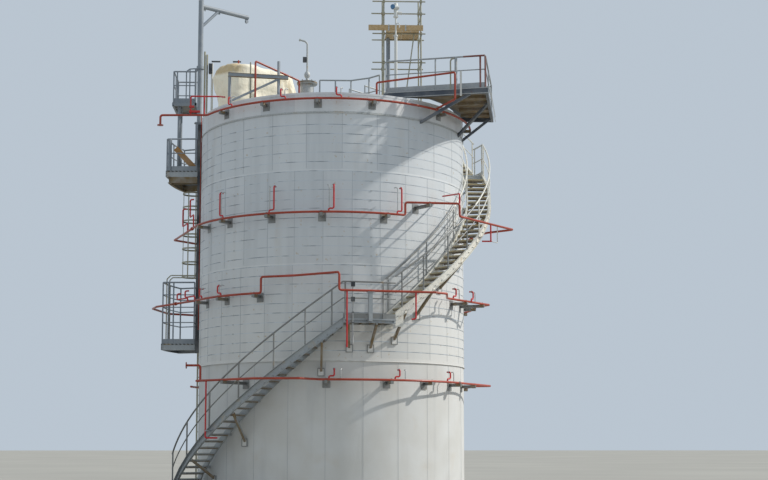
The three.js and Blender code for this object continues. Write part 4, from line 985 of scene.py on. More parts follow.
class TankSizes(bpy.types.PropertyGroup):
    """The sizes of the tank's cladding and fittings"""

    strap_pitch: length_property("Strap pitch", 0.277, "Height from one strap to the next", 0.1, 1.0)
    strap_width: length_property("Strap width", 0.018, "Width of a strap", 0.005, 0.1)
    strap_thickness: length_property("Strap thickness", 0.003, "How far a strap stands out", 0.001, 0.02)
    sheet_gap: length_property("Sheet gap", 0.002, "From the shell to the back of a sheet", 0.001, 0.01)
    sheet_thickness: length_property("Sheet thickness", 0.0015, "Thickness of a sheet", 0.0005, 0.01)
    lap_width: length_property("Lap width", 0.03, "Width of the raised lap on a sheet's edge", 0.01, 0.1)
    rail_diameter: length_property("Rail diameter", 0.05, "Outside of a handrail", 0.02, 0.1)
    mid_rail_diameter: length_property("Mid rail diameter", 0.034, "Outside of a mid rail", 0.02, 0.1)
    post_diameter: length_property("Post diameter", 0.046, "Outside of a railing post", 0.02, 0.1)
    elbow_radius: length_property("Elbow radius", 0.07, "Bend of a main, on its middle line", 0.03, 0.5)
    seed: bpy.props.IntProperty(
        name="Seed", description="Chooses the tints of sheets and boards", default=7, min=0
    )


def sizes():
    return bpy.context.scene.tank_sizes


# Cladding


def shell_radius_at(z):
    return SHELL_RADIUS - (LOWER_BAND_INSET if z < LOWER_BAND_TOP else 0.0)


def cladding_sheet(bottom, top, angle):
    """One curved sheet at the front, with a raised lap along one edge and along its foot."""
    size = sizes()
    back = shell_radius_at(bottom) + size.sheet_gap
    front = back + size.sheet_thickness
    lap = front + size.sheet_thickness
    edge = math.degrees(size.lap_width / back)
    sheet = Shape()
    sheet.sweep(oblong(back, front, bottom, top), -angle / 2, angle / 2)
    sheet.sweep(oblong(front, lap, bottom, top), angle / 2 - edge, angle / 2)
    foot = bottom + size.lap_width
    sheet.sweep(oblong(front, lap, bottom, foot), -angle / 2, angle / 2 - edge)
    return sheet


def seam_bead(bottom, top):
    """A bead of sealant along the free edge of a sheet's lap, modelled at the front; its grey also paints the
    lap's shadow.
    """
    face = shell_radius_at(bottom) + sizes().sheet_gap + 2 * sizes().sheet_thickness
    half = math.degrees(SEAM_BEAD / 2 / face)
    return Shape().sweep(oblong(face - 0.001, face + 0.002, bottom, top), -half, half, step=1)


def make_wall_sheets():
    finish, dark = finish_named("cladding"), finish_named("sealant")
    beads = []
    courses = [
        (COURSE_JOINTS[i], COURSE_JOINTS[i + 1], SEAM_STARTS[i], round(360 / SEAM_PITCHES[i]))
        for i in range(3)
    ]
    for i, (bottom, top, start, count) in enumerate(courses, start=2):
        pitch = 360 / count
        sheet = cladding_sheet(bottom + SHEET_JOINT, top - SHEET_JOINT, pitch)
        mesh = pattern_round(sheet, count, start - pitch / 2, pitch, finish, seed=sizes().seed + i)
        piece(f"cladding_course_{i}", mesh, finish, crease=50)
        beads.append(pattern_round(seam_bead(bottom + 0.05, top - 0.03), count, start, pitch, dark))
    lower = finish_named("lower_course")
    pitch = 360 / LOWER_SHEETS
    sheet = cladding_sheet(PLINTH_TOP + 0.01, LOWER_BAND_TOP - SHEET_JOINT, pitch)
    mesh = pattern_round(sheet, LOWER_SHEETS, LOWER_SHEET_START, pitch, lower, seed=sizes().seed + 9)
    piece("cladding_course_1", mesh, lower, crease=50)
    bead = seam_bead(PLINTH_TOP + 0.15, LOWER_BAND_TOP - 0.05)
    beads.append(pattern_round(bead, LOWER_SHEETS, LOWER_SHEET_START + pitch / 2, pitch, dark))
    piece("seam_sealant", beads, dark)


def make_straps():
    size = sizes()
    finish = finish_named("strap")
    radius = SHELL_RADIUS + size.sheet_gap + 2 * size.sheet_thickness
    bottom = COURSE_JOINTS[0] + size.strap_pitch
    count = int((FASCIA_BOTTOM - 0.1 - bottom) / size.strap_pitch) + 1
    values = {
        "Radius": radius,
        "Width": size.strap_width,
        "Thickness": size.strap_thickness,
        "Count": count,
        "Pitch": size.strap_pitch,
        "Bottom": bottom,
        "Facets": 180,
        "Material": finish,
    }
    piece("wall_straps", grow(bpy.data.meshes.new("none"), strap_tree, values), finish)
    out = radius + size.strap_thickness
    buckle = Shape().bar(polar(radius, 0), polar(out + 0.008, 0), 0.055, 0.03)
    levels = [bottom + i * size.strap_pitch for i in range(count)]
    places = [(angle, level) for angle in BUCKLE_ANGLES for level in levels]
    piece(
        "strap_buckles",
        copies_round(buckle, places, finish_named("pale_zinc")),
        finish_named("pale_zinc"),
    )


def flashing(bottom, height, out, radius):
    """A folded flashing: a flat leg on the wall with a kicked-out foot."""
    skin = 0.003
    return [
        (radius, bottom + height), (radius, bottom + 0.01), (radius + out, bottom),
        (radius + out + skin, bottom + skin), (radius + skin, bottom + 0.014),
        (radius + skin, bottom + height),
    ]


def make_flashings():
    size = sizes()
    outside = SHELL_RADIUS + size.sheet_gap + 2 * size.sheet_thickness
    strips = Shape()
    for joint in COURSE_JOINTS[1:3]:
        strips.hoop(oblong(outside, outside + 0.004, joint - 0.02, joint + 0.025))
    strips.hoop(flashing(LOWER_BAND_TOP - 0.03, 0.1, 0.018, outside))
    strips.hoop(flashing(PLINTH_TOP + 0.012, 0.12, 0.05, outside - LOWER_BAND_INSET))
    piece("wall_flashings", strips, finish_named("cladding"), crease=40)
    drip = Shape()
    drip.hoop(flashing(FASCIA_BOTTOM - 0.035, 0.06, 0.022, outside))
    piece("fascia_drip", drip, finish_named("pale_zinc"), crease=40)


def make_fascia():
    finish = finish_named("cladding")
    pitch = 360 / FASCIA_SHEETS
    sheet = cladding_sheet(FASCIA_BOTTOM + 0.02, EAVE - 0.02, pitch)
    mesh = pattern_round(sheet, FASCIA_SHEETS, FASCIA_SHEET_START, pitch, finish, seed=sizes().seed + 20)
    piece("fascia_sheets", mesh, finish, crease=50)
    trim = Shape()
    edge = SHELL_RADIUS + 0.006
    inside, skin = edge - 0.25, edge + 0.004
    trim.hoop([
        (inside, EAVE + 0.032), (edge, EAVE + 0.006), (edge, EAVE - 0.05),
        (skin, EAVE - 0.05), (skin, EAVE + 0.01), (inside, EAVE + 0.037),
    ])
    piece("eave_trim", trim, finish, crease=30)
    rib_out = polar(SHELL_RADIUS - 0.1, 0, roof_height(SHELL_RADIUS - 0.1) + 0.012)
    rib = Shape().bar(polar(0.4, 0, roof_height(0.4) + 0.012), rib_out, 0.025, 0.03)
    roof = finish_named("roof")
    piece("roof_seams", pattern_round(rib, ROOF_RIBS, 0, 360 / ROOF_RIBS, roof), roof)


def roof_height(radius):
    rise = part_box("roof")[1].z - EAVE
    return EAVE + rise * (1 - radius / SHELL_RADIUS)


# Stair


FLIGHTS = {"lower": LOWER_FLIGHT, "upper": UPPER_FLIGHT, "top": TOP_FLIGHT}


def on_treads(name, shape, finish):
    """One copy of a shape, modelled at the front, on each tread of the three flights."""
    for flight_name, flight in FLIGHTS.items():
        mesh = pattern_round(
            shape, flight.treads, flight.start, TREAD_ANGLE, finish, rise=RISER, seed=sizes().seed
        )
        mesh.transform(Matrix.Translation((0, 0, flight.base + RISER)))
        piece(f"{name}_{flight_name}", mesh, finish)


def make_treads():
    """A nosing angle over each tread, and a stained pan with two stiffening ribs under it."""
    inner, outer = STAIR_INNER + CHANNEL_WIDTH, STAIR_OUTER - CHANNEL_WIDTH
    nosing = Shape()
    nosing.sweep(oblong(inner, outer, -0.034, 0.004), -0.06, 0.0, step=0.1)
    nosing.sweep(oblong(inner, outer, 0.0, 0.004), 0.0, 0.55, step=1)
    on_treads("stair_nosings", nosing, finish_named("nosing"))
    pan = Shape()
    pan.sweep(oblong(inner, outer, -0.036, -0.031), -0.02, TREAD_ANGLE - 0.1, step=1)
    pan.sweep(oblong(inner, outer, -0.066, -0.036), 0.0, 0.08, step=0.1)
    pan.sweep(oblong(inner, outer, -0.066, -0.036), TREAD_ANGLE - 0.2, TREAD_ANGLE - 0.12, step=0.1)
    on_treads("stair_pans", pan, finish_named("tread"))


def make_stair_bolts():
    """Pairs of bolts through the outer stringer at each tread."""
    head = Shape()
    for angle in (0.9, 1.9):
        head.spoke(STAIR_OUTER - CHANNEL_WIDTH + 0.012, STAIR_OUTER - 0.045, angle, -0.09, 0.026, 0.026)
    on_treads("stair_bolts", head, finish_named("bracket"))


LOWER_STRUTS = ((-34, -36.7, 1.64), (-3.2, -4.2, 3.65), (-55, -55.5, 0.56))
LANDING_STRUTS = ((5.3, 6.8, 4.34), (14.6, 15.3, 4.34))
UPPER_STRUTS = (
    (24.8, 25.5, 0.77), (36, 36.5, 0.72), (50, 50, 0.77), (65, 65, 0.77), (79, 79, 0.77), (93, 93, 0.77)
)


def make_struts():
    """Stained sleeves on the stair's struts, and the bolted frames where they meet the wall."""
    brown = finish_named("stained")
    lower, upper = nosing_line(LOWER_FLIGHT), nosing_line(UPPER_FLIGHT)
    runs = [(angle, lower(angle) - 0.2, wall, z) for angle, wall, z in LOWER_STRUTS]
    runs += [(angle, LANDING_LEVEL - 0.13, wall, z) for angle, wall, z in LANDING_STRUTS]
    runs += [
        (angle, upper(angle) - 0.2, wall, upper(angle) - 0.2 - drop) for angle, wall, drop in UPPER_STRUTS
    ]
    sleeves, frames, pads = Shape(), Shape(), Shape()
    face = SHELL_RADIUS + 0.036
    for angle, top, wall, z in runs:
        head, foot = polar(STAIR_OUTER - 0.045, angle, top), polar(SHELL_RADIUS - 0.02, wall, z)
        sleeves.bar(head.lerp(foot, 0.04), foot, 0.064, 0.064)
        side = polar(1, wall + 90)
        centre = polar(face, wall, z)
        pads.bar(centre - polar(0.002, wall), centre + polar(0.004, wall), 0.16, 0.19)
        for across, height, width, depth in (
            (-0.092, 0, 0.022, 0.23), (0.092, 0, 0.022, 0.23), (0, -0.108, 0.19, 0.022),
            (0, 0.108, 0.19, 0.022),
        ):
            spot = centre + side * across + UP * height
            frames.bar(spot - polar(0.002, wall), spot + polar(0.01, wall), width, depth)
    piece("strut_sleeves", sleeves, brown)
    piece("strut_frames", frames, finish_named("bracket"))
    piece("strut_pads", pads, finish_named("cladding"))
    soffit = Shape()
    inner, outer = STAIR_INNER + 0.03, STAIR_OUTER - CHANNEL_WIDTH
    pan = oblong(inner, outer, LANDING_LEVEL - 0.046, LANDING_LEVEL - 0.041)
    soffit.sweep(pan, LANDING_START + 0.5, LANDING_END - 0.5, step=2)
    for angle in spaced(LANDING_START + 3, LANDING_END - 3, 4):
        soffit.spoke(inner, outer, angle, LANDING_LEVEL - 0.08, 0.03, 0.07)
    piece("landing_soffit", soffit, brown)


# Handrails


def railing_meshes(rails, mids, posts, finish):
    size = sizes()
    return [
        tubes(rails, size.rail_diameter, finish, bend=0.06, sides=12),
        tubes(mids, size.mid_rail_diameter, finish, bend=0.06, sides=10),
        tubes(posts, size.post_diameter, finish, sides=12),
    ]


def flight_railing(node, flight, first, last, radius, posts):
    line = nosing_line(flight)
    # Painted light and shade: the lower flight and first upper span take the dark bracket steel as their
    # shaded copy, the sunlit span past the splice the pale painted sunlit steel.
    finish = finish_named("bracket" if first < LANDING_END + 1 else "stringer")
    outer = radius > STAIR_INNER + CHANNEL_WIDTH
    thin = 1.0 if outer else 0.75
    rail = arc(radius, first, last, lambda angle: line(angle) + RAIL_HEIGHT)
    mid = arc(radius, first, last, lambda angle: line(angle) + MID_RAIL_HEIGHT)
    feet = [polar(radius, angle, line(angle) + STRINGER_RISE + 0.001) for angle in posts]
    uprights = [[foot, polar(radius, angle, line(angle) + RAIL_HEIGHT)] for foot, angle in zip(feet, posts)]
    size = sizes()
    meshes = [
        tubes([rail], size.rail_diameter, finish),
        tubes([mid], size.mid_rail_diameter, finish, sides=10),
        tubes(uprights, size.post_diameter * thin, finish),
    ]
    piece(node + "_tube", meshes, finish, replaces=[node])


def landing_railing(node, first, last, level, posts, side_at=None):
    # Painted light and shade: the landing low on the front takes the dark bracket steel as its shaded copy,
    # the sunlit rest and roof landings the pale zinc.
    finish = finish_named("bracket" if level == LANDING_LEVEL else "pale_zinc")
    rails, mids = [], []
    for height, group in ((RAIL_HEIGHT, rails), (MID_RAIL_HEIGHT, mids)):
        group.append(arc(RAIL_RADIUS, first, last, level + height))
        if side_at is not None:
            group.append(
                [
                    polar(STAIR_INNER + 0.04, side_at, level + height),
                    polar(RAIL_RADIUS, side_at, level + height),
                ]
            )
    spots = [polar(RAIL_RADIUS, angle, level + 0.0005) for angle in posts]
    if side_at is not None:
        spots.append(polar(STAIR_INNER + 0.04, side_at, level + 0.0005))
    uprights = [[spot, spot + UP * RAIL_HEIGHT] for spot in spots]
    toe = Shape()
    toe.sweep(
        oblong(RAIL_RADIUS - TOE_THICKNESS, RAIL_RADIUS, level + 0.001, level + TOE_HEIGHT), first, last
    )
    meshes = railing_meshes(rails, mids, uprights, finish)
    piece(node + "_tube", [*meshes, toe], finish, replaces=[node])


def make_handrails():
    lower_from = LOWER_FLIGHT.start + 1
    flight_railing("handrail_lower", LOWER_FLIGHT, lower_from, LANDING_START - 0.01, RAIL_RADIUS, LOWER_POSTS)
    landing_railing("handrail_landing", LANDING_START, LANDING_END, LANDING_LEVEL, LANDING_POSTS)
    spans = ((LANDING_END + 0.01, UPPER_SPLICE - 0.005), (UPPER_SPLICE + 0.005, REST_START - 0.01))
    outer_posts = (UPPER_POSTS, spaced(UPPER_SPLICE + 3, REST_START - 1, 4))
    for i, (first, last) in enumerate(spans, start=1):
        flight_railing(f"handrail_upper_{i}", UPPER_FLIGHT, first, last, RAIL_RADIUS, outer_posts[i - 1])
        flight_railing(
            f"handrail_inner_{i}",
            UPPER_FLIGHT,
            first,
            last,
            INNER_RAIL_RADIUS,
            spaced(first + 1, last - 1, 3),
        )
    landing_railing("handrail_rest_landing", REST_START, REST_END, REST_LEVEL, (REST_START + 1, REST_END - 1))
    top_posts = spaced(REST_END + 1, ROOF_LANDING_START - 1, 3)
    flight_railing(
        "handrail_top_flight", TOP_FLIGHT, REST_END + 0.01, ROOF_LANDING_START - 0.01, RAIL_RADIUS, top_posts
    )
    roof_to = ROOF_LANDING_END - 0.6
    roof_posts = (ROOF_LANDING_START + 1, roof_to)
    landing_railing(
        "handrail_roof_landing", ROOF_LANDING_START, roof_to, ROOF_LANDING_LEVEL, roof_posts, roof_to
    )


def straight_railing(
    name, places, level, finish, replaces=(), toe=TOE_HEIGHT, foot=0.0, rail=RAIL_HEIGHT
):
    """Posts, two rails and toe boards along a line of places on a level floor."""
    spots = [Vector((x, y, level)) for x, y in places]
    top = [spot + UP * rail for spot in spots]
    mid = [spot + UP * MID_RAIL_HEIGHT for spot in spots]
    posts = [[spot + UP * foot, spot + UP * rail] for spot in spots]
    boards = Shape()
    if toe:
        for a, b in zip(spots, spots[1:]):
            boards.bar(a + UP * (toe / 2 - 0.003), b + UP * (toe / 2 - 0.003), TOE_THICKNESS, toe - 0.006)
    extra = [boards] if toe else []
    piece(name, [*railing_meshes([top], [mid], posts, finish), *extra], finish, replaces=replaces)


# Ring mains


def main_piece(node, routes, branches, flanges=(), diameter=MAIN_DIAMETER):
    """A main with its couplings and flanges, and its branches in a fresher red."""
    finish, fresh = finish_named("red"), finish_named("branch_red")
    meshes = [tubes(routes, diameter, finish, bend=sizes().elbow_radius, sides=16)]
    for start, end, width in flanges:
        meshes.append(tubes([[start, end]], width, finish, sides=24))
    piece(node + "_pipe", meshes, finish, replaces=[node])
    tube_piece(node + "_branches", branches, BRANCH_DIAMETER, fresh, bend=0.05, sides=12)


def riser_path(spray):
    """From a tee on the main: up, sideways, up again, and over towards the wall."""
    tee = spray.angle + spray.hand * RISER_OFFSET
    level, radius, top = spray.level, spray.radius, spray.level + spray.rise
    return [
        polar(radius, tee, level), polar(radius, tee, level + 0.1), polar(radius, spray.angle, level + 0.1),
        polar(radius, spray.angle, top), polar(radius - 0.12, spray.angle, top),
    ]


def stepped_riser(tee, step, beside, top):
    """From a tee on the main: up to a step, sideways to a place beside it, and up to the top."""
    return [
        tee, point(tee.x, tee.y, step), point(beside.x, beside.y, step), point(beside.x, beside.y, top),
        point(beside.x * 0.975, beside.y * 0.975, top + 0.01),
    ]


def sensor_path(spray):
    """The thin line beside a riser, with a hook at its head."""
    beside = spray.angle + spray.twin
    outward = math.copysign(1, spray.twin)
    foot, top, radius = spray.level + 0.04, spray.level + spray.rise, spray.radius
    return [
        polar(radius, beside, foot), polar(radius, beside, top - 0.03),
        polar(radius - 0.05, beside + outward * 0.5, top + 0.01),
        polar(radius - 0.13, beside + outward * 0.6, top),
    ]


Spray = namedtuple("Spray", "angle level rise radius hand twin")


def sprays_at(angles, level, rise, radius=MAIN_RADIUS, hand=-1, twin=2.3):
    return [Spray(angle, level, rise, radius, hand, twin) for angle in angles]


LOWER_SPRAYS = sprays_at((0.9, 25.6, 51.0), LOWER_MAIN, 0.3)
LOWER_REAR_SPRAYS = sprays_at((120.0, 200.0), LOWER_MAIN, 0.3)
MIDDLE_SPRAYS = [
    *sprays_at((-48.4, -62.0), MIDDLE_MAIN, 0.33, hand=1, twin=1.2),
    *sprays_at((52.9,), MIDDLE_MAIN_OUTSIDE, 0.33, 4.67),
    *sprays_at((64.8,), MIDDLE_MAIN_OUTSIDE, 0.33, 4.774),
]
MIDDLE_REAR_SPRAYS = sprays_at((120.0, 200.0), MIDDLE_MAIN_OUTSIDE, 0.33)
UPPER_SPRAYS = [
    *sprays_at((-47.7,), UPPER_MAIN, 0.8, hand=1, twin=0.9),
    *sprays_at((-22.0, 0.5, 26.5), UPPER_MAIN, 0.8, twin=-1.7),
]
UPPER_REAR_SPRAYS = sprays_at((120.0, 200.0), UPPER_MAIN, 0.8)
TOP_SPRAYS = sprays_at((-44.9, -20.2, 1.3), TOP_MAIN, 0.33, TOP_MAIN_RADIUS, hand=1, twin=1.7)
TOP_REAR_SPRAYS = sprays_at((165.0, 200.0), TOP_MAIN, 0.33, TOP_MAIN_RADIUS)


def risers_of(sprays):
    return [riser_path(spray) for spray in sprays]


def coupling(first, last, z):
    """The ends and width of a coupling between two angles of a main."""
    return polar(MAIN_RADIUS, first, z), polar(MAIN_RADIUS, last, z), COUPLING


def make_lower_main():
    z = LOWER_MAIN
    feed = point(-4.25, -3.3, 3.89)
    route = [
        feed, point(-3.85, -3.3, 3.89), point(-3.85, -3.3, z), point(-3.98, -3.42, z), point(-2.2, -5.05, z),
        point(-0.9, -5.22, z), point(-0.35, -4.56, z), *arc(MAIN_RADIUS, 0, 52.5, z), point(5.05, -0.2, z),
        *arc(MAIN_RADIUS, 90, SPLICE - 0.005, z),
    ]
    drain = [point(-3.64, -3.731, z), point(-3.64, -3.731, 1.776), point(-3.29, -3.731, 1.776)]
    flanges = [
        (feed, feed + point(-0.025, 0, 0), FLANGE),
        coupling(SPLICE - 0.6, SPLICE - 0.01, z),
    ]
    main_piece("ring_main_lower_front", [route], [*risers_of(LOWER_SPRAYS), drain], flanges)
    rear = arc(MAIN_RADIUS, SPLICE + 0.005, 262.5, z)
    couplings = [coupling(SPLICE + 0.01, SPLICE + 0.6, z)]
    main_piece("ring_main_lower_rear", [rear], risers_of(LOWER_REAR_SPRAYS), couplings)


def make_middle_main():
    z, raised, outside = MIDDLE_MAIN, MIDDLE_MAIN_RAISED, MIDDLE_MAIN_OUTSIDE
    corner = point(-5.6, 0.1, z)
    bend = polar(MAIN_RADIUS, -66, z)
    halfway = bend.lerp(corner, 0.5)
    route = [
        halfway, *arc(MAIN_RADIUS, -66, -27, z), polar(MAIN_RADIUS, -27, raised), point(-1.1, -4.43, raised),
        point(0.2, -5.3, raised), point(0.2, -5.3, outside), point(2.96, -4.75, outside),
        point(3.31, -4.42, outside),
        point(3.42, -3.2, outside), point(4.9, -1.28, outside),
        *arc(MAIN_RADIUS, 82.5, MIDDLE_SPLICE - 0.005, outside),
    ]
    drops = [
        upright(0.42, -5.256, outside, 4.3),
        [point(2.39, -4.865, outside), point(2.39, -4.865, 5.14), point(2.26, -4.89, 5.12)],
    ]
    left = [
        [bend.lerp(corner, 0.203), 6.07, bend.lerp(corner, 0.466), 6.25],
        [bend.lerp(corner, 0.03), 6.1, bend.lerp(corner, 0.2665), 6.3],
    ]
    branches = [stepped_riser(*values) for values in left]
    ends = [coupling(MIDDLE_SPLICE - 0.6, MIDDLE_SPLICE - 0.01, outside)]
    main_piece("ring_main_middle_front", [route], [*risers_of(MIDDLE_SPRAYS), *drops, *branches], ends)
    rear = [
        *arc(MAIN_RADIUS, MIDDLE_SPLICE + 0.005, 228, outside), point(-4.3, 2.75, outside),
        point(-5.45, 2.05, outside),
        point(-5.8, 0.75, z), corner, halfway,
    ]
    couplings = [
        (halfway.lerp(corner, 0.02), halfway.lerp(bend, 0.02), COUPLING),
        coupling(MIDDLE_SPLICE + 0.01, MIDDLE_SPLICE + 0.6, outside),
    ]
    main_piece("ring_main_middle_rear", [rear], risers_of(MIDDLE_REAR_SPRAYS), couplings)


def make_upper_main():
    z, raised = UPPER_MAIN, UPPER_MAIN_RAISED
    bend = polar(MAIN_RADIUS, -66, z)
    corner = point(-5.2, 1.25, z)
    joint = bend.lerp(corner, 0.2)
    route = [
        joint, *arc(MAIN_RADIUS, -66, 28, z), polar(MAIN_RADIUS, 28, raised), point(3.75, -3.85, raised),
        point(3.75, -3.85, z), point(5.65, -1.4, z), point(4.92, -0.73, z), *arc(MAIN_RADIUS, 90, SPLICE, z),
    ]
    tall_riser = [point(3.75, -3.85, raised), point(3.75, -3.85, 8.95), point(3.34, -2.8, 9.06)]
    drop = upright(4.83, -2.458, z, 7.74)
    foot = [point(4.56, -2.458, 7.74), point(4.85, -2.458, 7.74)]
    left = [stepped_riser(bend.lerp(corner, 0.149), 8.68, bend.lerp(corner, 0.3), 9.24)]
    main_piece("ring_main_upper_front", [route], [*risers_of(UPPER_SPRAYS), tall_riser, drop, foot, *left])
    rear = [*arc(MAIN_RADIUS, SPLICE + 0.01, 235, z), point(-4.56, 2.05, z), corner, joint]
    couplings = [
        (joint.lerp(corner, 0.02), joint.lerp(bend, 0.02), COUPLING),
        coupling(SPLICE + 0.02, SPLICE + 1.2, z),
    ]
    left = [stepped_riser(bend.lerp(corner, 0.4), 8.54, bend.lerp(corner, 0.62), 9.1)]
    main_piece("ring_main_upper_rear", [rear], [*risers_of(UPPER_REAR_SPRAYS), *left], couplings)


def make_top_main():
    z = TOP_MAIN
    foot = point(-5.3, -2.15, z - 0.3)
    route = [foot, foot + UP * 0.3, *arc(TOP_MAIN_RADIUS, -60, 88, z)]
    feed = [
        point(1.31, -3.5, EAVE - 0.02), point(1.31, -3.5, 12.38), point(3.58, -4.45, 12.46),
        point(3.58, -4.45, z),
        polar(TOP_MAIN_RADIUS, 44, z),
    ]
    loop_top, loop_y = 12.24, -2.2
    loop = [
        point(-4.372, loop_y, z), point(-4.372, loop_y, loop_top), point(-3.49, loop_y, loop_top),
        point(-3.3, -2.6, loop_top - 0.12),
    ]
    second = upright(-3.953, loop_y - 0.02, z, loop_top)
    stubs = [
        [point(-4.417, loop_y - 0.02, 11.91), point(-4.265, loop_y - 0.02, 11.91)],
        [point(-4.417, loop_y - 0.02, 11.755), point(-4.081, loop_y - 0.02, 11.755)],
    ]
    finish = finish_named("red")
    meshes = [
        tubes([route], MAIN_DIAMETER, finish, bend=sizes().elbow_radius, sides=16),
        tubes([feed], ROOF_PIPE_DIAMETER, finish, bend=0.05, sides=12),
        tubes([[foot, foot - UP * 0.025]], FLANGE, finish, sides=24),
    ]
    piece("ring_main_top_front_pipe", meshes, finish, replaces=["ring_main_top_front"])
    fresh = finish_named("branch_red")
    branches = [
        tubes([*risers_of(TOP_SPRAYS), loop, second], BRANCH_DIAMETER, fresh, bend=0.05),
        tubes(stubs, 0.075, fresh, sides=16),
    ]
    piece("ring_main_top_front_branches", branches, fresh)
    riser = [polar(TOP_MAIN_RADIUS, 152, UPPER_MAIN + MAIN_DIAMETER), polar(TOP_MAIN_RADIUS, 152, z)]
    rear = arc(TOP_MAIN_RADIUS, 146, 250, z)
    main_piece("ring_main_top_rear", [rear, riser], risers_of(TOP_REAR_SPRAYS))


def bracket_shape(reach):
    """A stub beam from the wall, with a pad plate behind it and a U-bolt over the pipe."""
    width = 0.09
    centre = -MAIN_DIAMETER / 2 - width / 2 + 0.008
    radius = reach - 0.06
    shape = Shape()
    flange = beam_section(-width / 2, width / 2, -width / 2, width / 2, 0.004)
    shape.profile(polar(SHELL_RADIUS - 0.02, 0, centre), polar(reach - 0.015, 0, centre), flange)
    shape.spoke(SHELL_RADIUS + 0.004, PAD_FACE, 0, centre - 0.02, 0.23, 0.28)
    shape.spoke(reach - 0.02, reach - 0.012, 0, centre, width, width)
    hook = MAIN_DIAMETER / 2 + 0.008
    bow = [
        (math.cos(math.radians(turn)) * hook, math.sin(math.radians(turn)) * hook)
        for turn in range(0, 181, 30)
    ]
    spots = [Vector((x, 0, z)) for x, z in bow]
    legs = [
        Vector((hook, 0, centre + width / 2 - 0.03)), *spots, Vector((-hook, 0, centre + width / 2 - 0.03))
    ]
    for a, b in zip(legs, legs[1:]):
        shape.bar(a + polar(radius, 0), b + polar(radius, 0), 0.012, 0.012, Vector((0, 1, 0)))
    return shape


def make_pipe_brackets():
    def at(angles, level):
        return [(angle, level) for angle in angles]

    groups = {
        MAIN_RADIUS + 0.06: [
            *at((-2.1, 22.2, 40.3, 58, 105, 145, 190, 235), LOWER_MAIN),
            *at((-64.5, -48.1, -30), MIDDLE_MAIN),
            *at((105, 145, 185, 224), MIDDLE_MAIN_OUTSIDE),
            *at((-64, -46.9, -25, -4.1, 20.9, 105, 145, 185, 228), UPPER_MAIN),
        ],
        TOP_MAIN_RADIUS + 0.04: at((-50, -28, -6, 16, 50, 82, 148, 180, 215, 248), TOP_MAIN),
        5.3: at((-36.6,), LOWER_MAIN),
        4.668: at((73,), LOWER_MAIN),
        4.764: at((60,), MIDDLE_MAIN_OUTSIDE),
        4.983: at((71.1,), MIDDLE_MAIN_OUTSIDE),
        4.604: at((84,), MIDDLE_MAIN_OUTSIDE),
        4.93: at((36,), UPPER_MAIN_RAISED),
    }
    finish, brown = finish_named("bracket"), finish_named("stained")
    beams = [copies_round(bracket_shape(reach), places, finish) for reach, places in groups.items()]
    piece("main_brackets", beams, finish)
    shoes = [copies_round(shoe_shape(reach), places, brown) for reach, places in groups.items()]
    piece("main_shoes", shoes, brown)


def shoe_shape(reach):
    """A pipe shoe on a bracket's outer end: a cradle plate on two cheeks."""
    under = -MAIN_DIAMETER / 2 - 0.006
    shape = Shape().spoke(reach - 0.17, reach - 0.02, 0, under, 0.12, 0.02)
    for side in (-0.052, 0.052):
        shape.bar(
            polar(reach - 0.17, 0, under - 0.03) + Vector((side, 0, 0)),
            polar(reach - 0.022, 0, under - 0.03) + Vector((side, 0, 0)),
            0.01,
            0.06,
        )
    return shape


def make_nozzles():
    """Deflector nozzles at the risers' heads, and the thin lines beside the risers."""
    head = Shape()
    head.turned(
        [(0, 0.0), (0.022, 0.0), (0.022, 0.03), (0.04, 0.06), (0.04, 0.066), (0, 0.066)],
        Vector((0, 0, 0)),
        12,
    )
    front = [*LOWER_SPRAYS, *MIDDLE_SPRAYS, *UPPER_SPRAYS, *TOP_SPRAYS]
    rear = [*LOWER_REAR_SPRAYS, *MIDDLE_REAR_SPRAYS, *UPPER_REAR_SPRAYS, *TOP_REAR_SPRAYS]
    places = []
    for spray in (*front, *rear):
        spot = polar(spray.radius - 0.11, spray.angle, spray.level + spray.rise)
        places.append((spot, (-math.pi / 2, 0, math.radians(spray.angle) + math.pi)))
    zinc, pale = finish_named("zinc"), finish_named("pale_zinc")
    piece("spray_nozzles", copies(head, places, zinc), zinc)
    lines = [sensor_path(spray) for spray in (*front, *rear)]
    lines.append([point(5.07, -2.15, UPPER_MAIN - 0.045), point(5.07, -2.15, 7.74), point(4.86, -2.44, 7.74)])
    tube_piece("spray_sensor_lines", lines, 0.03, pale, bend=0.03, sides=8)


# Left side


def flat_hoop(centre, radius, z, first, last, height=0.05, thickness=0.008, steps=18):
    """Points of a flat-bar hoop as rings of its section."""
    rings = []
    for turn in spaced(first, last, steps):
        out = polar(1, LADDER_ANGLE + 180 + turn)
        spot = centre + out * radius
        half = out * (thickness / 2)
        rings.append([
            spot - half + UP * (z - height / 2), spot + half + UP * (z - height / 2),
            spot + half + UP * (z + height / 2), spot - half + UP * (z + height / 2),
        ])
    return rings


def ladder_sides(shape, angle, radius, bottom, top):
    half = math.degrees(LADDER_WIDTH / 2 / radius)
    for side in (angle - half, angle + half):
        shape.bar(polar(radius, side, bottom), polar(radius, side, top), 0.06, 0.012, polar(1, side + 90))


def ladder_rungs(angle, radius, bottom, top, finish):
    half = math.degrees(LADDER_WIDTH / 2 / radius)
    count = int((top - bottom - 0.15) / RUNG_PITCH)
    rungs = []
    for i in range(count):
        z = bottom + 0.2 + i * RUNG_PITCH
        rungs.append([polar(radius, angle - half, z), polar(radius, angle + half, z)])
    return tubes(rungs, 0.024, finish, sides=8)


def ladder_stays(shape, angle, radius, levels):
    half = math.degrees(LADDER_WIDTH / 2 / radius)
    for z in levels:
        for side in (angle - half, angle + half):
            shape.spoke(BEAM_END, radius, side, z, 0.04, 0.012)
            shape.spoke(BEAM_END, SHELL_RADIUS + 0.012, side, z, 0.11, 0.14)


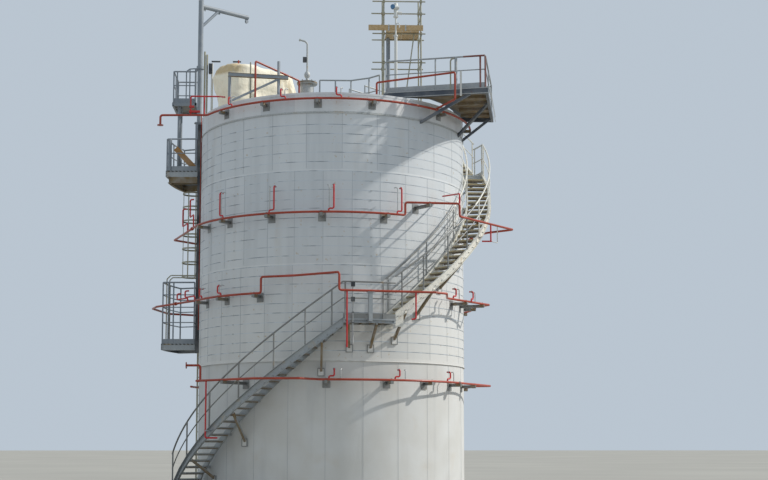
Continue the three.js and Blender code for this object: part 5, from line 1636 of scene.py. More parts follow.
def make_ladders():
    finish = finish_named("olive")
    bottom, top = LOWER_PLATFORM.level + 0.001, UPPER_PLATFORM.level + 1.05
    tall = Shape()
    ladder_sides(tall, LADDER_ANGLE, LADDER_RADIUS, bottom, top)
    ladder_stays(tall, LADDER_ANGLE, LADDER_RADIUS, (5.6, 7.4, 9.2, 11.0))
    centre = polar(LADDER_RADIUS + 0.33, LADDER_ANGLE)
    half = math.degrees(LADDER_WIDTH / 2 / LADDER_RADIUS)
    for z in spaced(CAGE_BOTTOM, CAGE_TOP, CAGE_HOOPS):
        first, last = CAGE_STRAP_TURNS[0], CAGE_STRAP_TURNS[-1]
        tall.rings(flat_hoop(centre, CAGE_RADIUS, z, first, last))
        for turn, side in ((first, LADDER_ANGLE - half), (last, LADDER_ANGLE + half)):
            end = centre + polar(CAGE_RADIUS, LADDER_ANGLE + 180 + turn) + UP * z
            tall.bar(polar(LADDER_RADIUS, side, z), end, 0.008, 0.05)
    for turn in CAGE_STRAP_TURNS:
        out = polar(1, LADDER_ANGLE + 180 + turn)
        foot = centre + out * (CAGE_RADIUS - 0.008)
        tall.bar(foot + UP * (CAGE_BOTTOM - 0.02), foot + UP * (CAGE_TOP + 0.02), 0.036, 0.007, out)
    rungs = ladder_rungs(LADDER_ANGLE, LADDER_RADIUS, bottom, top, finish)
    piece("caged_ladder_bars", [tall, rungs], finish, replaces=["caged_ladder"])
    low = Shape()
    low_top = LOWER_PLATFORM.level + 1.05
    ladder_sides(low, ACCESS_ANGLE, ACCESS_RADIUS, 0.0, low_top)
    ladder_stays(low, ACCESS_ANGLE, ACCESS_RADIUS, (0.9, 2.5, 4.3))
    rungs = ladder_rungs(ACCESS_ANGLE, ACCESS_RADIUS, 0.0, low_top, finish)
    piece("access_ladder_bars", [low, rungs], finish, replaces=["access_ladder"])


def channel_section(width, height, plate=0.009):
    """A channel's outline, open towards +across."""
    w, h = width, height / 2
    return [
        (0, -h),
        (w, -h),
        (w, -h + plate),
        (plate, -h + plate),
        (plate, h - plate),
        (w, h - plate),
        (w, h),
        (0, h),
    ]


def make_side_platform(name, platform, hatch):
    """Grating on an edge channel and wall beams, with a railing of tubes."""
    finish = finish_named("blue_grey")
    level, outer = platform.level, platform.outer
    bottom = level - 0.2
    deck = level - 0.04
    first, last = PLATFORM_END, PLATFORM_START
    floors = [(PLATFORM_INNER, outer - 0.02, first + 0.3, last - 0.3)]
    if hatch:
        floors = [
            (PLATFORM_INNER, outer - 0.02, first + 0.3, LADDER_ANGLE - HATCH_HALF_ANGLE),
            (PLATFORM_INNER, outer - 0.02, LADDER_ANGLE + HATCH_HALF_ANGLE, last - 0.3),
            (5.12, outer - 0.02, LADDER_ANGLE - HATCH_HALF_ANGLE, LADDER_ANGLE + HATCH_HALF_ANGLE),
        ]
    grating = Shape()
    for inside, outside, a, b in floors:
        grating.sweep(oblong(inside, outside, deck + 0.005, level), a, b, step=2)
    steel = finish_named("grating")
    piece(name + "_grating", grating, steel)
    frame_steel = Shape()
    inside, web, plate = outer - 0.06, outer - 0.009, 0.009
    edge = [
        (inside, bottom), (outer, bottom), (outer, level), (inside, level),
        (inside, level - plate), (web, level - plate), (web, bottom + plate), (inside, bottom + plate),
    ]
    frame_steel.sweep(edge, first, last, step=2)
    middle = (deck + bottom) / 2
    edges = Shape()
    for angle, hand in ((first + 0.4, 1), (last - 0.4, -1)):
        section = [(hand * across, height) for across, height in channel_section(0.06, deck - bottom + 0.004)]
        edges.profile(polar(PLATFORM_INNER, angle, middle), polar(outer - 0.01, angle, middle), section)
        toe_at = level + TOE_HEIGHT / 2 + 0.002
        frame_steel.spoke(PLATFORM_INNER, outer - 0.03, angle, toe_at, TOE_THICKNESS, TOE_HEIGHT)
    piece(name + "_side_channels", edges, finish_named("zinc"))
    for angle in PLATFORM_BEAMS:
        frame_steel.spoke(BEAM_END, outer - 0.02, angle, middle, 0.06, deck - bottom)
    rail_radius = outer - 0.03
    inner = PLATFORM_INNER + 0.04
    a, b = first + 0.5, last - 0.5
    toe = oblong(rail_radius - TOE_THICKNESS, rail_radius, level, level + TOE_HEIGHT)
    frame_steel.sweep(toe, a, b, step=2)

    def around(z):
        return [polar(inner, a, z), *arc(rail_radius, a, b, z), polar(inner, b, z)]

    rails = [around(level + max(platform.rails))]
    mids = [around(level + height) for height in platform.rails if height < max(platform.rails)]
    head = UP * max(platform.rails)
    spots = [polar(rail_radius, angle, level) for angle in spaced(a, b, 3)] + [
        polar(inner, angle, level) for angle in (a, b)
    ]
    posts = [[spot, spot + head] for spot in spots]
    meshes = [frame_steel, *railing_meshes(rails, mids, posts, finish)]
    uprights = [polar(rail_radius - back, b, level) for back in platform.uprights]
    meshes.append(tubes([[spot, spot + head] for spot in uprights], platform.upright, finish, sides=20))
    piece(name + "_frame", meshes, finish, replaces=[name])
    if platform.girder:
        make_girder(name, platform, bottom)


def make_girder(name, platform, top):
    """The rust-stained girder under a platform's edge, with the beams that carry it."""
    outer = platform.outer
    bottom = top - platform.girder
    girder = Shape()
    section = beam_section(outer - 0.17, outer - 0.07, bottom, top, 0.005)
    girder.sweep(section, PLATFORM_END, PLATFORM_START, step=2)
    middle = (top + bottom) / 2
    girder.spoke(SHELL_RADIUS + 0.17, outer - 0.1, PLATFORM_START - 0.8, middle, 0.07, top - bottom - 0.002)
    for angle in PLATFORM_BEAMS:
        girder.spoke(BEAM_END, outer - 0.08, angle, middle, 0.06, top - bottom)
        girder.spoke(BEAM_END, PAD_FACE, angle, middle, 0.2, 0.3)
    brown = finish_named("stained")
    piece(name + "_girder", girder, brown)


def make_side_platforms():
    make_side_platform("platform_lower", LOWER_PLATFORM, hatch=False)
    foot = LOWER_PLATFORM.level
    hoops = [
        [
            point(-5.3, 0.26, foot), point(-5.3, 0.26, 6.86), point(-5.18, 0.26, 6.98),
            point(-4.42, 0.26, 6.98),
        ],
        [
            point(-5.21, 0.26, foot), point(-5.21, 0.26, 6.82), point(-5.12, 0.26, 6.91),
            point(-4.42, 0.26, 6.91),
        ],
    ]
    khaki = finish_named("olive")
    tube_piece("platform_lower_hoops", hoops, 0.036, khaki, bend=0.06)
    make_side_platform("platform_upper", UPPER_PLATFORM, hatch=True)


def make_high_platform():
    level, left, right = HIGH_PLATFORM["level"], HIGH_PLATFORM["left"], HIGH_PLATFORM["right"]
    front, back = HIGH_PLATFORM["front"], HIGH_PLATFORM["back"]
    finish = finish_named("blue_grey")
    deck = level - 0.04
    bottom = level - 0.12
    grating = Shape().box((left + 0.01, front + 0.01, deck + 0.004), (right - 0.01, back - 0.01, level))
    piece("platform_high_grating", grating, finish_named("grating"))
    steel = Shape()
    for x in (left + 0.03, right - 0.03):
        steel.bar(
            point(x, front, (bottom + level) / 2),
            point(x, back, (bottom + level) / 2),
            0.06,
            level - bottom - 0.01,
        )
    for y in (front + 0.03, back - 0.03):
        steel.bar(
            point(left, y, (bottom + level) / 2),
            point(right, y, (bottom + level) / 2),
            0.06,
            level - bottom - 0.01,
        )
    corner = (right - 0.04, front + 0.04)
    steel.bar(point(MAST_X, MAST_Y + 0.111, COLLAR_LEVEL), point(*corner, COLLAR_LEVEL), 0.06, 0.08)
    for y, angle in ((1.0, -103), (2.0, -116)):
        steel.bar(point(right - 0.03, y, bottom + 0.02), polar(SHELL_RADIUS - 0.01, angle, 11.5), 0.06, 0.06)
        steel.spoke(BEAM_END, PAD_FACE, angle, 11.5, 0.2, 0.26)
    inner, outer = MAST_DIAMETER / 2 + 0.006, MAST_DIAMETER / 2 + 0.036
    steel.turned(oblong(inner, outer, -0.05, 0.05), point(MAST_X, MAST_Y, COLLAR_LEVEL), 32)
    places = [
        corner, (left + 0.04, front + 0.04), (left + 0.04, (front + back) / 2), (left + 0.04, back - 0.04),
        (right - 0.04, back - 0.04),
    ]
    for (ax, ay), (bx, by) in zip(places, places[1:]):
        steel.bar(point(ax, ay, level + 0.07), point(bx, by, level + 0.07), TOE_THICKNESS, TOE_HEIGHT)
    rails = [[point(x, y, level + RAIL_HEIGHT) for x, y in places]]
    mids = [[point(x, y, level + MID_RAIL_HEIGHT) for x, y in places]]
    posts = [upright(x, y, level, level + RAIL_HEIGHT) for x, y in places[1:]]
    legs = [upright(left + 0.22, y, UPPER_PLATFORM.level + 0.001, level - 0.03) for y in (0.95, 1.5)]
    hoops = [
        [
            point(-4.85, 0.83, level), point(-4.85, 0.83, 13.86), point(-4.737, 0.83, 13.945),
            point(-4.52, 0.83, 13.96),
        ],
        upright(-4.735, 0.83, level, 13.94),
        upright(-5.146, 0.83, level, level + RAIL_HEIGHT),
    ]
    meshes = [
        steel,
        *railing_meshes(rails, mids, posts, finish),
        tubes(legs, 0.1, finish, sides=20),
        tubes([[point(*corner, level), point(*corner, COLLAR_LEVEL + 0.04)]], 0.07, finish),
        tubes(hoops, 0.04, finish, bend=0.06),
    ]
    piece("platform_high_frame", meshes, finish, replaces=["platform_high"])


def make_channel_cover():
    """Straps on the cable duct, and the red line that runs beside it."""
    finish = finish_named("dark")
    low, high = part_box("cable_channel")
    strap = Shape()
    strap.spoke(SHELL_RADIUS + 0.01, SHELL_RADIUS + 0.156, -91, 0, 0.262, 0.05)
    levels = [(0, z) for z in spaced(low.z + 0.15, high.z - 0.15, 10)]
    piece("cable_duct_straps", copies_round(strap, levels, finish), finish)
    red = finish_named("red")
    line = [polar(SHELL_RADIUS + 0.045, -89.0, 5.2), polar(SHELL_RADIUS + 0.045, -89.0, EAVE + 0.3)]
    tube_piece("duct_side_line", [line], 0.026, red)


# Davit


def reach_point(distance, z):
    along = polar(1, JIB_ANGLE)
    return point(MAST_X + along.x * distance, MAST_Y + along.y * distance, z)


def make_davit():
    finish = finish_named("blue_grey")
    plates = Shape()
    plates.bar(
        reach_point(JIB_REACH - 0.062, JIB_LEVEL - 0.17), reach_point(JIB_REACH - 0.04, JIB_LEVEL), 0.02, 0.12
    )
    for distance in (0.05, 0.62):
        plates.bar(
            reach_point(distance, JIB_LEVEL - 0.09),
            reach_point(distance + 0.13, JIB_LEVEL - 0.09),
            0.012,
            0.1,
        )
    cap = Shape()
    cap.turned(
        [(0, 0), (0.09, 0), (0.09, 0.012), (0.05, 0.024), (0, 0.028)],
        point(MAST_X, MAST_Y, MAST_TOP - 0.028),
        32,
    )
    axle = reach_point(JIB_REACH - 0.05, JIB_LEVEL - 0.15)
    side = polar(1, JIB_ANGLE + 90)
    meshes = [
        tubes([upright(MAST_X, MAST_Y, MAST_BOTTOM, MAST_TOP - 0.028)], MAST_DIAMETER, finish, sides=32),
        tubes([[reach_point(0.02, JIB_LEVEL), reach_point(JIB_REACH, JIB_LEVEL)]], 0.15, finish, sides=28),
        tubes([[reach_point(0.04, 15.31), reach_point(0.7, JIB_LEVEL - 0.02)]], 0.095, finish, sides=20),
        tubes([[axle - side * 0.03, axle + side * 0.03]], 0.11, finish, sides=24),
        plates,
        cap,
    ]
    piece("davit_arm", meshes, finish, body="swing_davit", replaces=["davit"])


def make_socket_fittings():
    """Flanges, gussets and bolts on the davit's socket."""
    finish = finish_named("blue_grey")
    rings = Shape()
    centre = point(MAST_X, MAST_Y, 0)
    for z in (10.58, 12.03):
        rings.turned(oblong(0.132, 0.17, z, z + 0.02), centre, 32)
    bolts = [point(MAST_X, MAST_Y, 12.05) + polar(0.151, turn) for turn in range(0, 360, 45)]
    head = Shape().bar(Vector((0, 0, 0)), Vector((0, 0, 0.014)), 0.022, 0.022, Vector((0, 1, 0)))
    heads = copies_at(head, bolts, finish)
    piece("davit_socket_fittings", [rings, heads], finish)


# Roof


def make_vent():
    finish = finish_named("pale_zinc")
    at = point(*VENT_PLACE, 0)
    body = Shape()
    body.turned([
        (0, 12.0), (0.215, 12.0), (0.215, 12.9), (0.312, 12.902), (0.32, 12.91), (0.32, 12.94),
        (0.314, 12.945),
        (0.32, 12.95), (0.32, 12.98), (0.2, 12.992), (0.06, 13.01), (0.045, 13.11), (0.08, 13.16),
        (0.095, 13.2), (0.095, 13.25), (0.07, 13.31), (0.04, 13.34), (0, 13.34),
    ], at, 40)
    neck = [point(at.x + x, at.y, z) for x, z in ((0, 13.3), (0, 14.24), (-0.07, 14.32), (-0.26, 14.37))]
    meshes = [
        body,
        tubes([neck], 0.06, finish, bend=0.08, sides=16),
        tubes([[neck[-1].lerp(neck[-2], 0.2), neck[-1]]], 0.09, finish, sides=16),
    ]
    piece("roof_vent_turned", meshes, finish, replaces=["roof_vent"])
    brown = finish_named("stained")
    head = Shape().bar(Vector((0, 0, 0)), Vector((0, 0, 0.022)), 0.03, 0.03, Vector((0, 1, 0)))
    spots = [at + polar(0.29, turn, 12.985) for turn in range(0, 360, 30)]
    ring = Shape().turned(oblong(0.318, 0.324, 12.925, 12.962), at, 40)
    piece("roof_vent_bolts", [copies_at(head, spots, brown), ring], brown)
    dark = finish_named("dark")
    box = Shape().box((at.x - 0.14, at.y - 0.05, 13.64), (at.x - 0.03, at.y + 0.05, 13.8))
    piece("roof_vent_box", box, dark)


COVER_LEFT = ((11.8, -3.62), (13.2, -3.86), (13.49, -3.74), (13.57, -3.48))
COVER_RIGHT = ((11.8, -1.13), (12.7, -1.12), (13.28, -1.26), (13.38, -1.36))
COVER_CROWN = (
    (-3.86, 13.2), (-3.74, 13.49), (-3.48, 13.57), (-2.45, 13.57), (-2.0, 13.51), (-1.36, 13.38),
    (-1.26, 13.28), (-1.12, 12.7),
)
COVER_FRONT = ((-3.86, -1.15), (-3.2, -1.6), (-2.9, -1.6), (-1.12, -0.45))
COVER_BACK = -0.1
COVER_SQUARENESS = 0.3
COVER_COLUMNS = 220
COVER_WALL_ROWS = 34
COVER_TOP_ROWS = 12
COVER_THICKNESS = 0.002


def interpolated(pairs, at):
    """The value that a row of (place, value) pairs gives at a place, by straight lines between them."""
    if at <= pairs[0][0]:
        return pairs[0][1]
    for (a, low), (b, high) in zip(pairs, pairs[1:]):
        if at <= b:
            return low + (high - low) * (at - a) / (b - a)
    return pairs[-1][1]


def cover_edge(turn, z):
    """A point of the cover's plan at a height: a rounded block, with its right front turned to the sun."""
    left, right = interpolated(COVER_LEFT, z) + 0.02, interpolated(COVER_RIGHT, z) - 0.02
    c, s = math.cos(turn), math.sin(turn)
    x = (left + right) / 2 + (right - left) / 2 * math.copysign(abs(c) ** COVER_SQUARENESS, c)
    front, back = interpolated(COVER_FRONT, x) + 0.02, COVER_BACK - 0.02
    y = (front + back) / 2 + (back - front) / 2 * math.copysign(abs(s) ** COVER_SQUARENESS, s)
    return x, y


def make_cover():
    """The sheeting: rows from the hem up to the shoulder, then rings closing over the top."""
    low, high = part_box("tarpaulin_cover")
    rows = []
    count, wall_rows, top_rows = COVER_COLUMNS, COVER_WALL_ROWS, COVER_TOP_ROWS
    centre_x, centre_y = (low.x + high.x) / 2, (low.y + high.y) / 2
    for row in range(wall_rows + top_rows):
        ring = []
        wall = min(row / wall_rows, 1.0)
        closing = max(0.0, (row - wall_rows + 1) / top_rows)
        for i in range(count):
            turn = 2 * math.pi * i / count
            x, y = cover_edge(turn, 12.9)
            shoulder = interpolated(COVER_CROWN, x) - 0.09
            hem = max(roof_height(math.hypot(x, y)) + 0.03, low.z)
            z = hem + (shoulder - hem) * wall
            x, y = cover_edge(turn, z)
            out = Vector((x - centre_x, y - centre_y, 0)).normalized()
            hang = 1.0 - wall
            spot = Vector((x, y, z))
            folds = 0.022 * math.sin(11 * turn + 5 * wall) + 0.012 * math.sin(29 * turn - 4 * wall)
            swag = 0.06 * (abs(math.sin(1.6 * x + 2.1 * z + 1.3 * y)) - 0.5) * math.sin(math.pi * wall)
            crease = noise.noise(Vector((x * 2.2, y * 2.2, z * 2.0))) * 0.1 + noise.noise(
                Vector((x * 5, y * 5, z * 4))
            ) * 0.035
            spot -= out * max(0.0, 0.065 - folds * (0.4 + 0.6 * hang) - swag - crease * 0.8)
            if closing > 0:
                shrink = 1.0 - closing * 0.985
                spot.x = centre_x + (spot.x - centre_x) * shrink
                spot.y = centre_y + (spot.y - centre_y) * shrink
                crown = interpolated(COVER_CROWN, spot.x) - 0.02
                spot.z = min(
                    crown,
                    crown - 0.07 + 0.07 * math.sin(min(1.0, closing * 2.5) * math.pi / 2) + crease * 0.5,
                )
            ring.append(spot)
        rows.append(ring)
    skin = Shape()
    for ring in rows:
        skin.corners.extend(ring)
    for i in range(len(rows) - 1):
        for k in range(count):
            after = (k + 1) % count
            skin.faces.append(
                (i * count + k, i * count + after, (i + 1) * count + after, (i + 1) * count + k)
            )
    last = (len(rows) - 1) * count
    skin.faces.append(tuple(range(last, last + count)))
    mesh = skin.mesh("sheeting")
    area = sum(polygon.area for polygon in mesh.polygons)
    finish = finish_named("tarpaulin")
    sheeting = piece("tarpaulin_sheet", mesh, finish, replaces=["tarpaulin_cover"], crease=80)
    thick = sheeting.modifiers.new("Thickness", "SOLIDIFY")
    thick.thickness = COVER_THICKNESS
    thick.offset = 0.0


def make_roof_frame_fittings():
    """The roof's red pipe, the poles beside the sheeting and the brown cap on the pipe frame's beam."""
    red = finish_named("red")
    low = EAVE - 0.02
    riser = [
        point(-2.37, -2.7, low), point(-2.37, -2.7, 13.23), point(-1.06, -1.7, 12.9),
        point(-1.06, -1.7, low + 0.14),
    ]
    tube_piece(
        "roof_pipe_tube", [riser], ROOF_PIPE_DIAMETER, red, bend=0.04, replaces=["roof_pipe"]
    )
    stub = [upright(-3.03, -0.7, 13.5, 13.82)]
    tube_piece("cover_red_stub", stub, 0.05, red)
    olive = finish_named("olive")
    poles = [
        upright(-4.125, -0.5, roof_height(4.155), 14.15),
        upright(-4.05, -0.5, roof_height(4.08), 14.05),
    ]
    thin = [upright(-2.53, -2.5, roof_height(3.557), 13.25)]
    piece(
        "roof_poles", [tubes(poles, 0.06, olive, sides=16), tubes(thin, 0.045, olive)], olive
    )
    white = finish_named("white")
    tube_piece(
        "roof_pale_pole",
        [upright(-3.886, -0.5, roof_height(3.918), 13.76)],
        0.07,
        white,
        sides=16,
    )
    dark = finish_named("dark")
    box = Shape().box((-3.99, -0.6, 13.42), (-3.87, -0.46, 13.74))
    for left, right in ((-3.9, -3.62), (-3.22, -2.96)):
        box.bar(point(left, -0.56, 13.81), point(right, -0.56, 13.81), 0.05, 0.04)
    piece("roof_pole_box", box, dark)
    brown = finish_named("stained")
    cap = Shape()
    cap.bar(point(-3.2, -2.708, 12.853), point(-1.38, -2.4, 12.853), 0.1, 0.012)
    cap.bar(point(-3.2, -2.708, 12.747), point(-1.38, -2.4, 12.747), 0.1, 0.012)
    piece("pipe_frame_flanges", cap, brown)


def scaffold_tubes():
    s = SCAFFOLD
    left, right, front, middle, back = (s[side] for side in ("left", "right", "front", "middle", "back"))
    rest = s["deck"] - LEDGER_DROP
    standards = [
        [point(x, y, roof_height(math.hypot(x, y))), point(x, y, s["top"])]
        for x in (left, right)
        for y in (front, back)
    ]
    places = [*zip((front, back), LOW_LEDGERS), (front, rest), (middle, rest)]
    places += [(y, z) for z in HIGH_LEDGERS for y in (front, back)]
    ledgers = [
        [point(left - LEDGER_OVERHANGS[0], y, z), point(right + LEDGER_OVERHANGS[1], y, z)] for y, z in places
    ]
    levels = (sum(LOW_LEDGERS) / 2, rest, *HIGH_LEDGERS)
    transoms = [
        [point(x, front - 0.15, z - 0.034), point(x, back + 0.15, z - 0.034)]
        for x in (left, right)
        for z in levels
    ]
    brace = [point(2.2, front, 11.98), point(2.5, front, rest)]
    couplers = [point(x, y, z) for y, z in places if y != middle for x in (left, right)]
    return standards, [*ledgers, *transoms, brace], couplers


def make_scaffold():
    finish = finish_named("olive")
    standards, others, couplers = scaffold_tubes()
    coupler = Shape().bar(Vector((-0.035, 0, 0)), Vector((0.035, 0, 0)), 0.075, 0.085)
    meshes = [
        tubes(standards, SCAFFOLD["tube"], finish),
        tubes(others, SCAFFOLD_LEDGER, finish, sides=10),
        copies_at(coupler, couplers, finish),
    ]
    piece("scaffold_tubes", meshes, finish, replaces=["scaffold_frame"])


def make_boards():
    """Single boards side by side, and a strapped toe board in front."""
    s = SCAFFOLD
    finish = finish_named("timber")
    left, right = s["left"] + 0.06, s["right"] - 0.06
    front, back = s["front"] - 0.14, s["middle"] + 0.08
    board = Shape().box((-0.125, front, 0.0), (0.125, back, 0.038))
    count = 4
    pitch = (right - left) / count
    spots = [point(left + pitch * (i + 0.5), 0, s["deck"] + 0.001) for i in range(count)]
    piece(
        "scaffold_boards",
        copies_at(board, spots, finish, seed=sizes().seed),
        finish,
        replaces=["scaffold_deck"],
    )
    toe = Shape().box((1.085, front, s["deck"] + 0.045), (2.77, front + 0.03, s["deck"] + 0.215))
    piece("scaffold_toe_board", toe, finish)
    zinc = finish_named("pale_zinc")
    straps = Shape()
    for x in (left + 0.09, right - 0.42):
        straps.box((x - 0.02, front - 0.006, s["deck"] + 0.03), (x + 0.02, front - 0.001, s["deck"] + 0.225))
    piece("scaffold_board_straps", straps, zinc)


def make_masts():
    grey = finish_named("blue_grey")
    column = Shape()
    top = SCAFFOLD["deck"] - 0.03
    at = point(*COLUMN_PLACE, 0)
    column.turned(
        [
            (0, 12.0), (0.12, 12.0), (0.12, 12.15), (0.0625, 12.16), (0.0625, top - 0.02), (0.058, top),
            (0, top),
        ],
        at,
        32,
    )
    piece("roof_column_turned", column, grey, replaces=["roof_column"])
    white = finish_named("white")
    at = point(*INSTRUMENT_PLACE, 0)
    mast = Shape()
    mast.turned([
        (0, 11.95), (0.1, 11.95), (0.1, 12.08), (0.0475, 12.09), (0.0475, 14.02), (0.065, 14.03),
        (0.065, 14.07), (0.03, 14.08), (0.025, 14.1), (0.025, 14.6), (0.05, 14.63), (0.075, 14.635),
        (0.075, 14.665), (0.06, 14.67), (0.06, 15.06), (0.05, 15.08), (0, 15.08),
    ], at, 32)
    piece("instrument_mast_turned", mast, white, replaces=["instrument_mast"])
    lever = [at + point(0, 0, 14.45), at + point(0.11, -0.02, 14.45), at + point(0.11, -0.02, 14.3)]
    head = [
        tubes([[at + point(-0.075, -0.07, 14.93), at + point(0.09, -0.03, 14.93)]], 0.12, white, sides=24),
        tubes([[at + point(0.02, 0, 14.78), at + point(0.19, 0, 14.76)]], 0.09, white, sides=20),
        tubes([lever], 0.03, white, bend=0.04),
    ]
    piece("instrument_head", head, white)
    blue = finish_named("cap_blue")
    face = at + point(-0.1, -0.13, 14.94)
    tube_piece("instrument_cap", [[face, face + point(0.01, 0.09, 0)]], 0.14, blue, sides=28)


def make_roof_walkway():
    zinc = finish_named("zinc")
    places = [(-0.42, -1.23), (0.075, -1.23), (0.57, -1.23), (1.13, -1.54), (1.45, -1.9)]
    straight_railing(
        "roof_railing_tube",
        places,
        12.0,
        zinc,
        replaces=["roof_railing"],
        toe=0,
        foot=0.08,
    )
    angle, level, inner, outer, width = 138.0, 12.34, 0.95, 4.15, 0.76
    radii = (outer - 0.1, (inner + outer) / 2, inner + 0.25)
    for i, hand in enumerate((-1, 1), start=1):
        across = polar(hand * (width / 2 - 0.04), angle + 90)
        spots = [polar(radius, angle) + across for radius in radii]
        name = f"roof_walkway_rail_{i}"
        straight_railing(
            name + "_tube",
            [(s.x, s.y) for s in spots],
            level,
            zinc,
            replaces=[name],
            toe=0,
        )


# Top right


WALKWAY_TOP = 12.13
WALKWAY_DEPTH = 0.17
WALKWAY_EDGE = ((1.55, -3.2), (4.6, -4.0), (5.2, -0.3))


def between(p, q, share):
    """The plan point at a share of the way from one to another."""
    return p[0] + (q[0] - p[0]) * share, p[1] + (q[1] - p[1]) * share


def make_top_right_rail():
    zinc = finish_named("zinc")
    (ax, ay), (bx, by), (cx, cy) = WALKWAY_EDGE
    a, b, c = (ax + 0.06, ay + 0.06), (bx - 0.06, by + 0.06), (cx - 0.06, cy - 0.06)
    places = [a, between(a, b, 0.5), b, between(b, c, 0.5), c, (4.33, -0.37)]
    replaced = ["handrail_top_right"]
    straight_railing(
        "handrail_top_right_tube", places, WALKWAY_TOP, zinc, replaced, toe=0.19, rail=1.0
    )
    brown, slate, oxide, olive, white = (
        finish_named(name) for name in ("stained", "slate", "oxide", "olive", "white")
    )
    head = WALKWAY_TOP + 1.0

    def on_edge(share, z):
        return point(*between(a, b, share), z)

    tube_piece(
        "walkway_thick_post",
        [[on_edge(0.706, WALKWAY_TOP), on_edge(0.706, head)]],
        0.085,
        zinc,
        sides=20,
    )
    hook = [
        on_edge(0.652, WALKWAY_TOP), on_edge(0.652, head - 0.12), on_edge(0.66, head - 0.05),
        on_edge(0.69, head - 0.03),
    ]
    tube_piece("walkway_hooked_post", [hook], 0.045, olive, bend=0.04)
    primed = [
        [on_edge(0.78, head), on_edge(0.995, head)],
        [on_edge(0.949, WALKWAY_TOP), on_edge(0.949, head)],
        [on_edge(0.999, WALKWAY_TOP + 0.02), on_edge(0.999, head - 0.03)],
    ]
    tube_piece("walkway_primed_posts", primed, 0.056, oxide)
    pole = upright(3.8, -3.97, WALKWAY_TOP - 0.25, WALKWAY_TOP + 0.5)
    tube_piece("walkway_pale_pole", [pole], 0.06, white, sides=16)
    soffit, edge, flanges = Shape(), Shape(), Shape()
    floor = [
        (1.6, -3.17), (4.55, -3.94), (5.14, -0.34), (4.32, -0.34), (3.92, -1.3), (3.1, -2.7), (1.75, -2.95)
    ]
    soffit.prism(floor, WALKWAY_TOP - 0.047, WALKWAY_TOP - 0.042)
    for share in (0.2, 0.4, 0.6, 0.8):
        near = between((bx, by), (cx, cy), share)
        soffit.bar(
            point(near[0] - 0.06, near[1], WALKWAY_TOP - 0.09),
            point(near[0] - 1.0, near[1] + 0.16, WALKWAY_TOP - 0.09),
            0.05,
            0.08,
        )
    piece("platform_top_right_soffit", soffit, brown)
    level = WALKWAY_TOP - WALKWAY_DEPTH / 2
    for (px, py), (qx, qy) in (((ax, ay), (bx, by)), ((bx, by), (cx, cy))):
        edge.bar(point(px, py, level), point(qx, qy, level), 0.012, WALKWAY_DEPTH - 0.006)
        for height in (WALKWAY_TOP - 0.008, WALKWAY_TOP - WALKWAY_DEPTH + 0.004):
            flanges.bar(
                point(px + 0.06, py - 0.08, height), point(qx + 0.06, qy - 0.08, height), 0.012, 0.016
            )
    piece("platform_top_right_edge", edge, slate)
    piece("platform_top_right_flanges", flanges, finish_named("pale_zinc"))


def make_wall_fittings():
    """The conduit outside the landing, with its two boxes and its clips."""
    zinc = finish_named("pale_zinc")
    reach, angle = STAIR_OUTER + 0.02, 6.63
    conduit = [polar(reach, angle, 4.41), polar(reach, angle, 6.12)]
    boxes = Shape()
    for z in (6.1, 5.67):
        boxes.spoke(reach - 0.035, reach + 0.035, angle, z, 0.11, 0.13)
    for z in (5.0, 5.3):
        boxes.spoke(reach - 0.02, reach + 0.02, angle, z, 0.06, 0.03)
    tube_piece("landing_conduit", [conduit], 0.034, zinc)
    piece("landing_conduit_boxes", boxes, finish_named("dark"))


def make_loose_gear():
    """A flat ochre steel left leaning on the upper side platform's railing."""
    ochre = finish_named("ochre")
    steels = Shape()
    level = UPPER_PLATFORM.level
    steels.bar(point(-4.47, 0.33, level + 0.1), point(-5.1, 0.3, level + 0.76), 0.03, 0.18)
    piece("loose_steel", steels, ochre)


def dress_frame():
    """Gives each frame node that still shows its finish."""
    plain = {
        "foundation_plinth": "concrete",
        "top_fascia": "cladding",
        "roof": "roof",
        "cable_channel": "dark",
        "davit_socket": "blue_grey",
        "platform_top_right": "slate",
        "pipe_frame": "blue_grey",
        "tarpaulin_cover": "tarpaulin",
    }
    for name, node in NODES.items():
        if name.startswith("shell_segment"):
            finish = finish_named("cladding")
        # The upper and top flights' frame nodes face the sun and take the painted sunlit steel.
        elif name.startswith("stair_upper") or name.startswith("stair_top"):
            finish = finish_named("stringer")
        else:
            finish = finish_named(plain.get(name, "zinc"))
        if not node.material_slots:
            node.data.materials.append(finish)
        for slot in node.material_slots:
            slot.material = finish


# Stage

CAMERA_PLACE = (0.0, -43.5, 1.6)
CAMERA_YAW = 2.19
CAMERA_PITCH = 6.5
CAMERA_FOCAL_PIXELS = 1365.0
CAMERA_SHIFT = 0.0631
PICTURE_WIDTH = 768
SUN_DIRECTION = (-1.0, -0.07, -0.79)
SUN_STRENGTH = 3.2
SUN_SPREAD = 1.2
SUN_COLOUR = (1.0, 0.97, 0.92)
SKY_COLOUR = "#D6E3F0"
SKY_STRENGTH = 0.73
FLOOR_TONES = ("#A8A59C", "#9E9B93")


def make_stage():
    floor = Shape()
    floor.box((-300, -60, -0.2), (300, 300, -0.002))
    ground = bpy.data.objects.new("floor", floor.mesh("floor"))
    ground.data.materials.append(pale_floor())
    bpy.context.scene.collection.objects.link(ground)


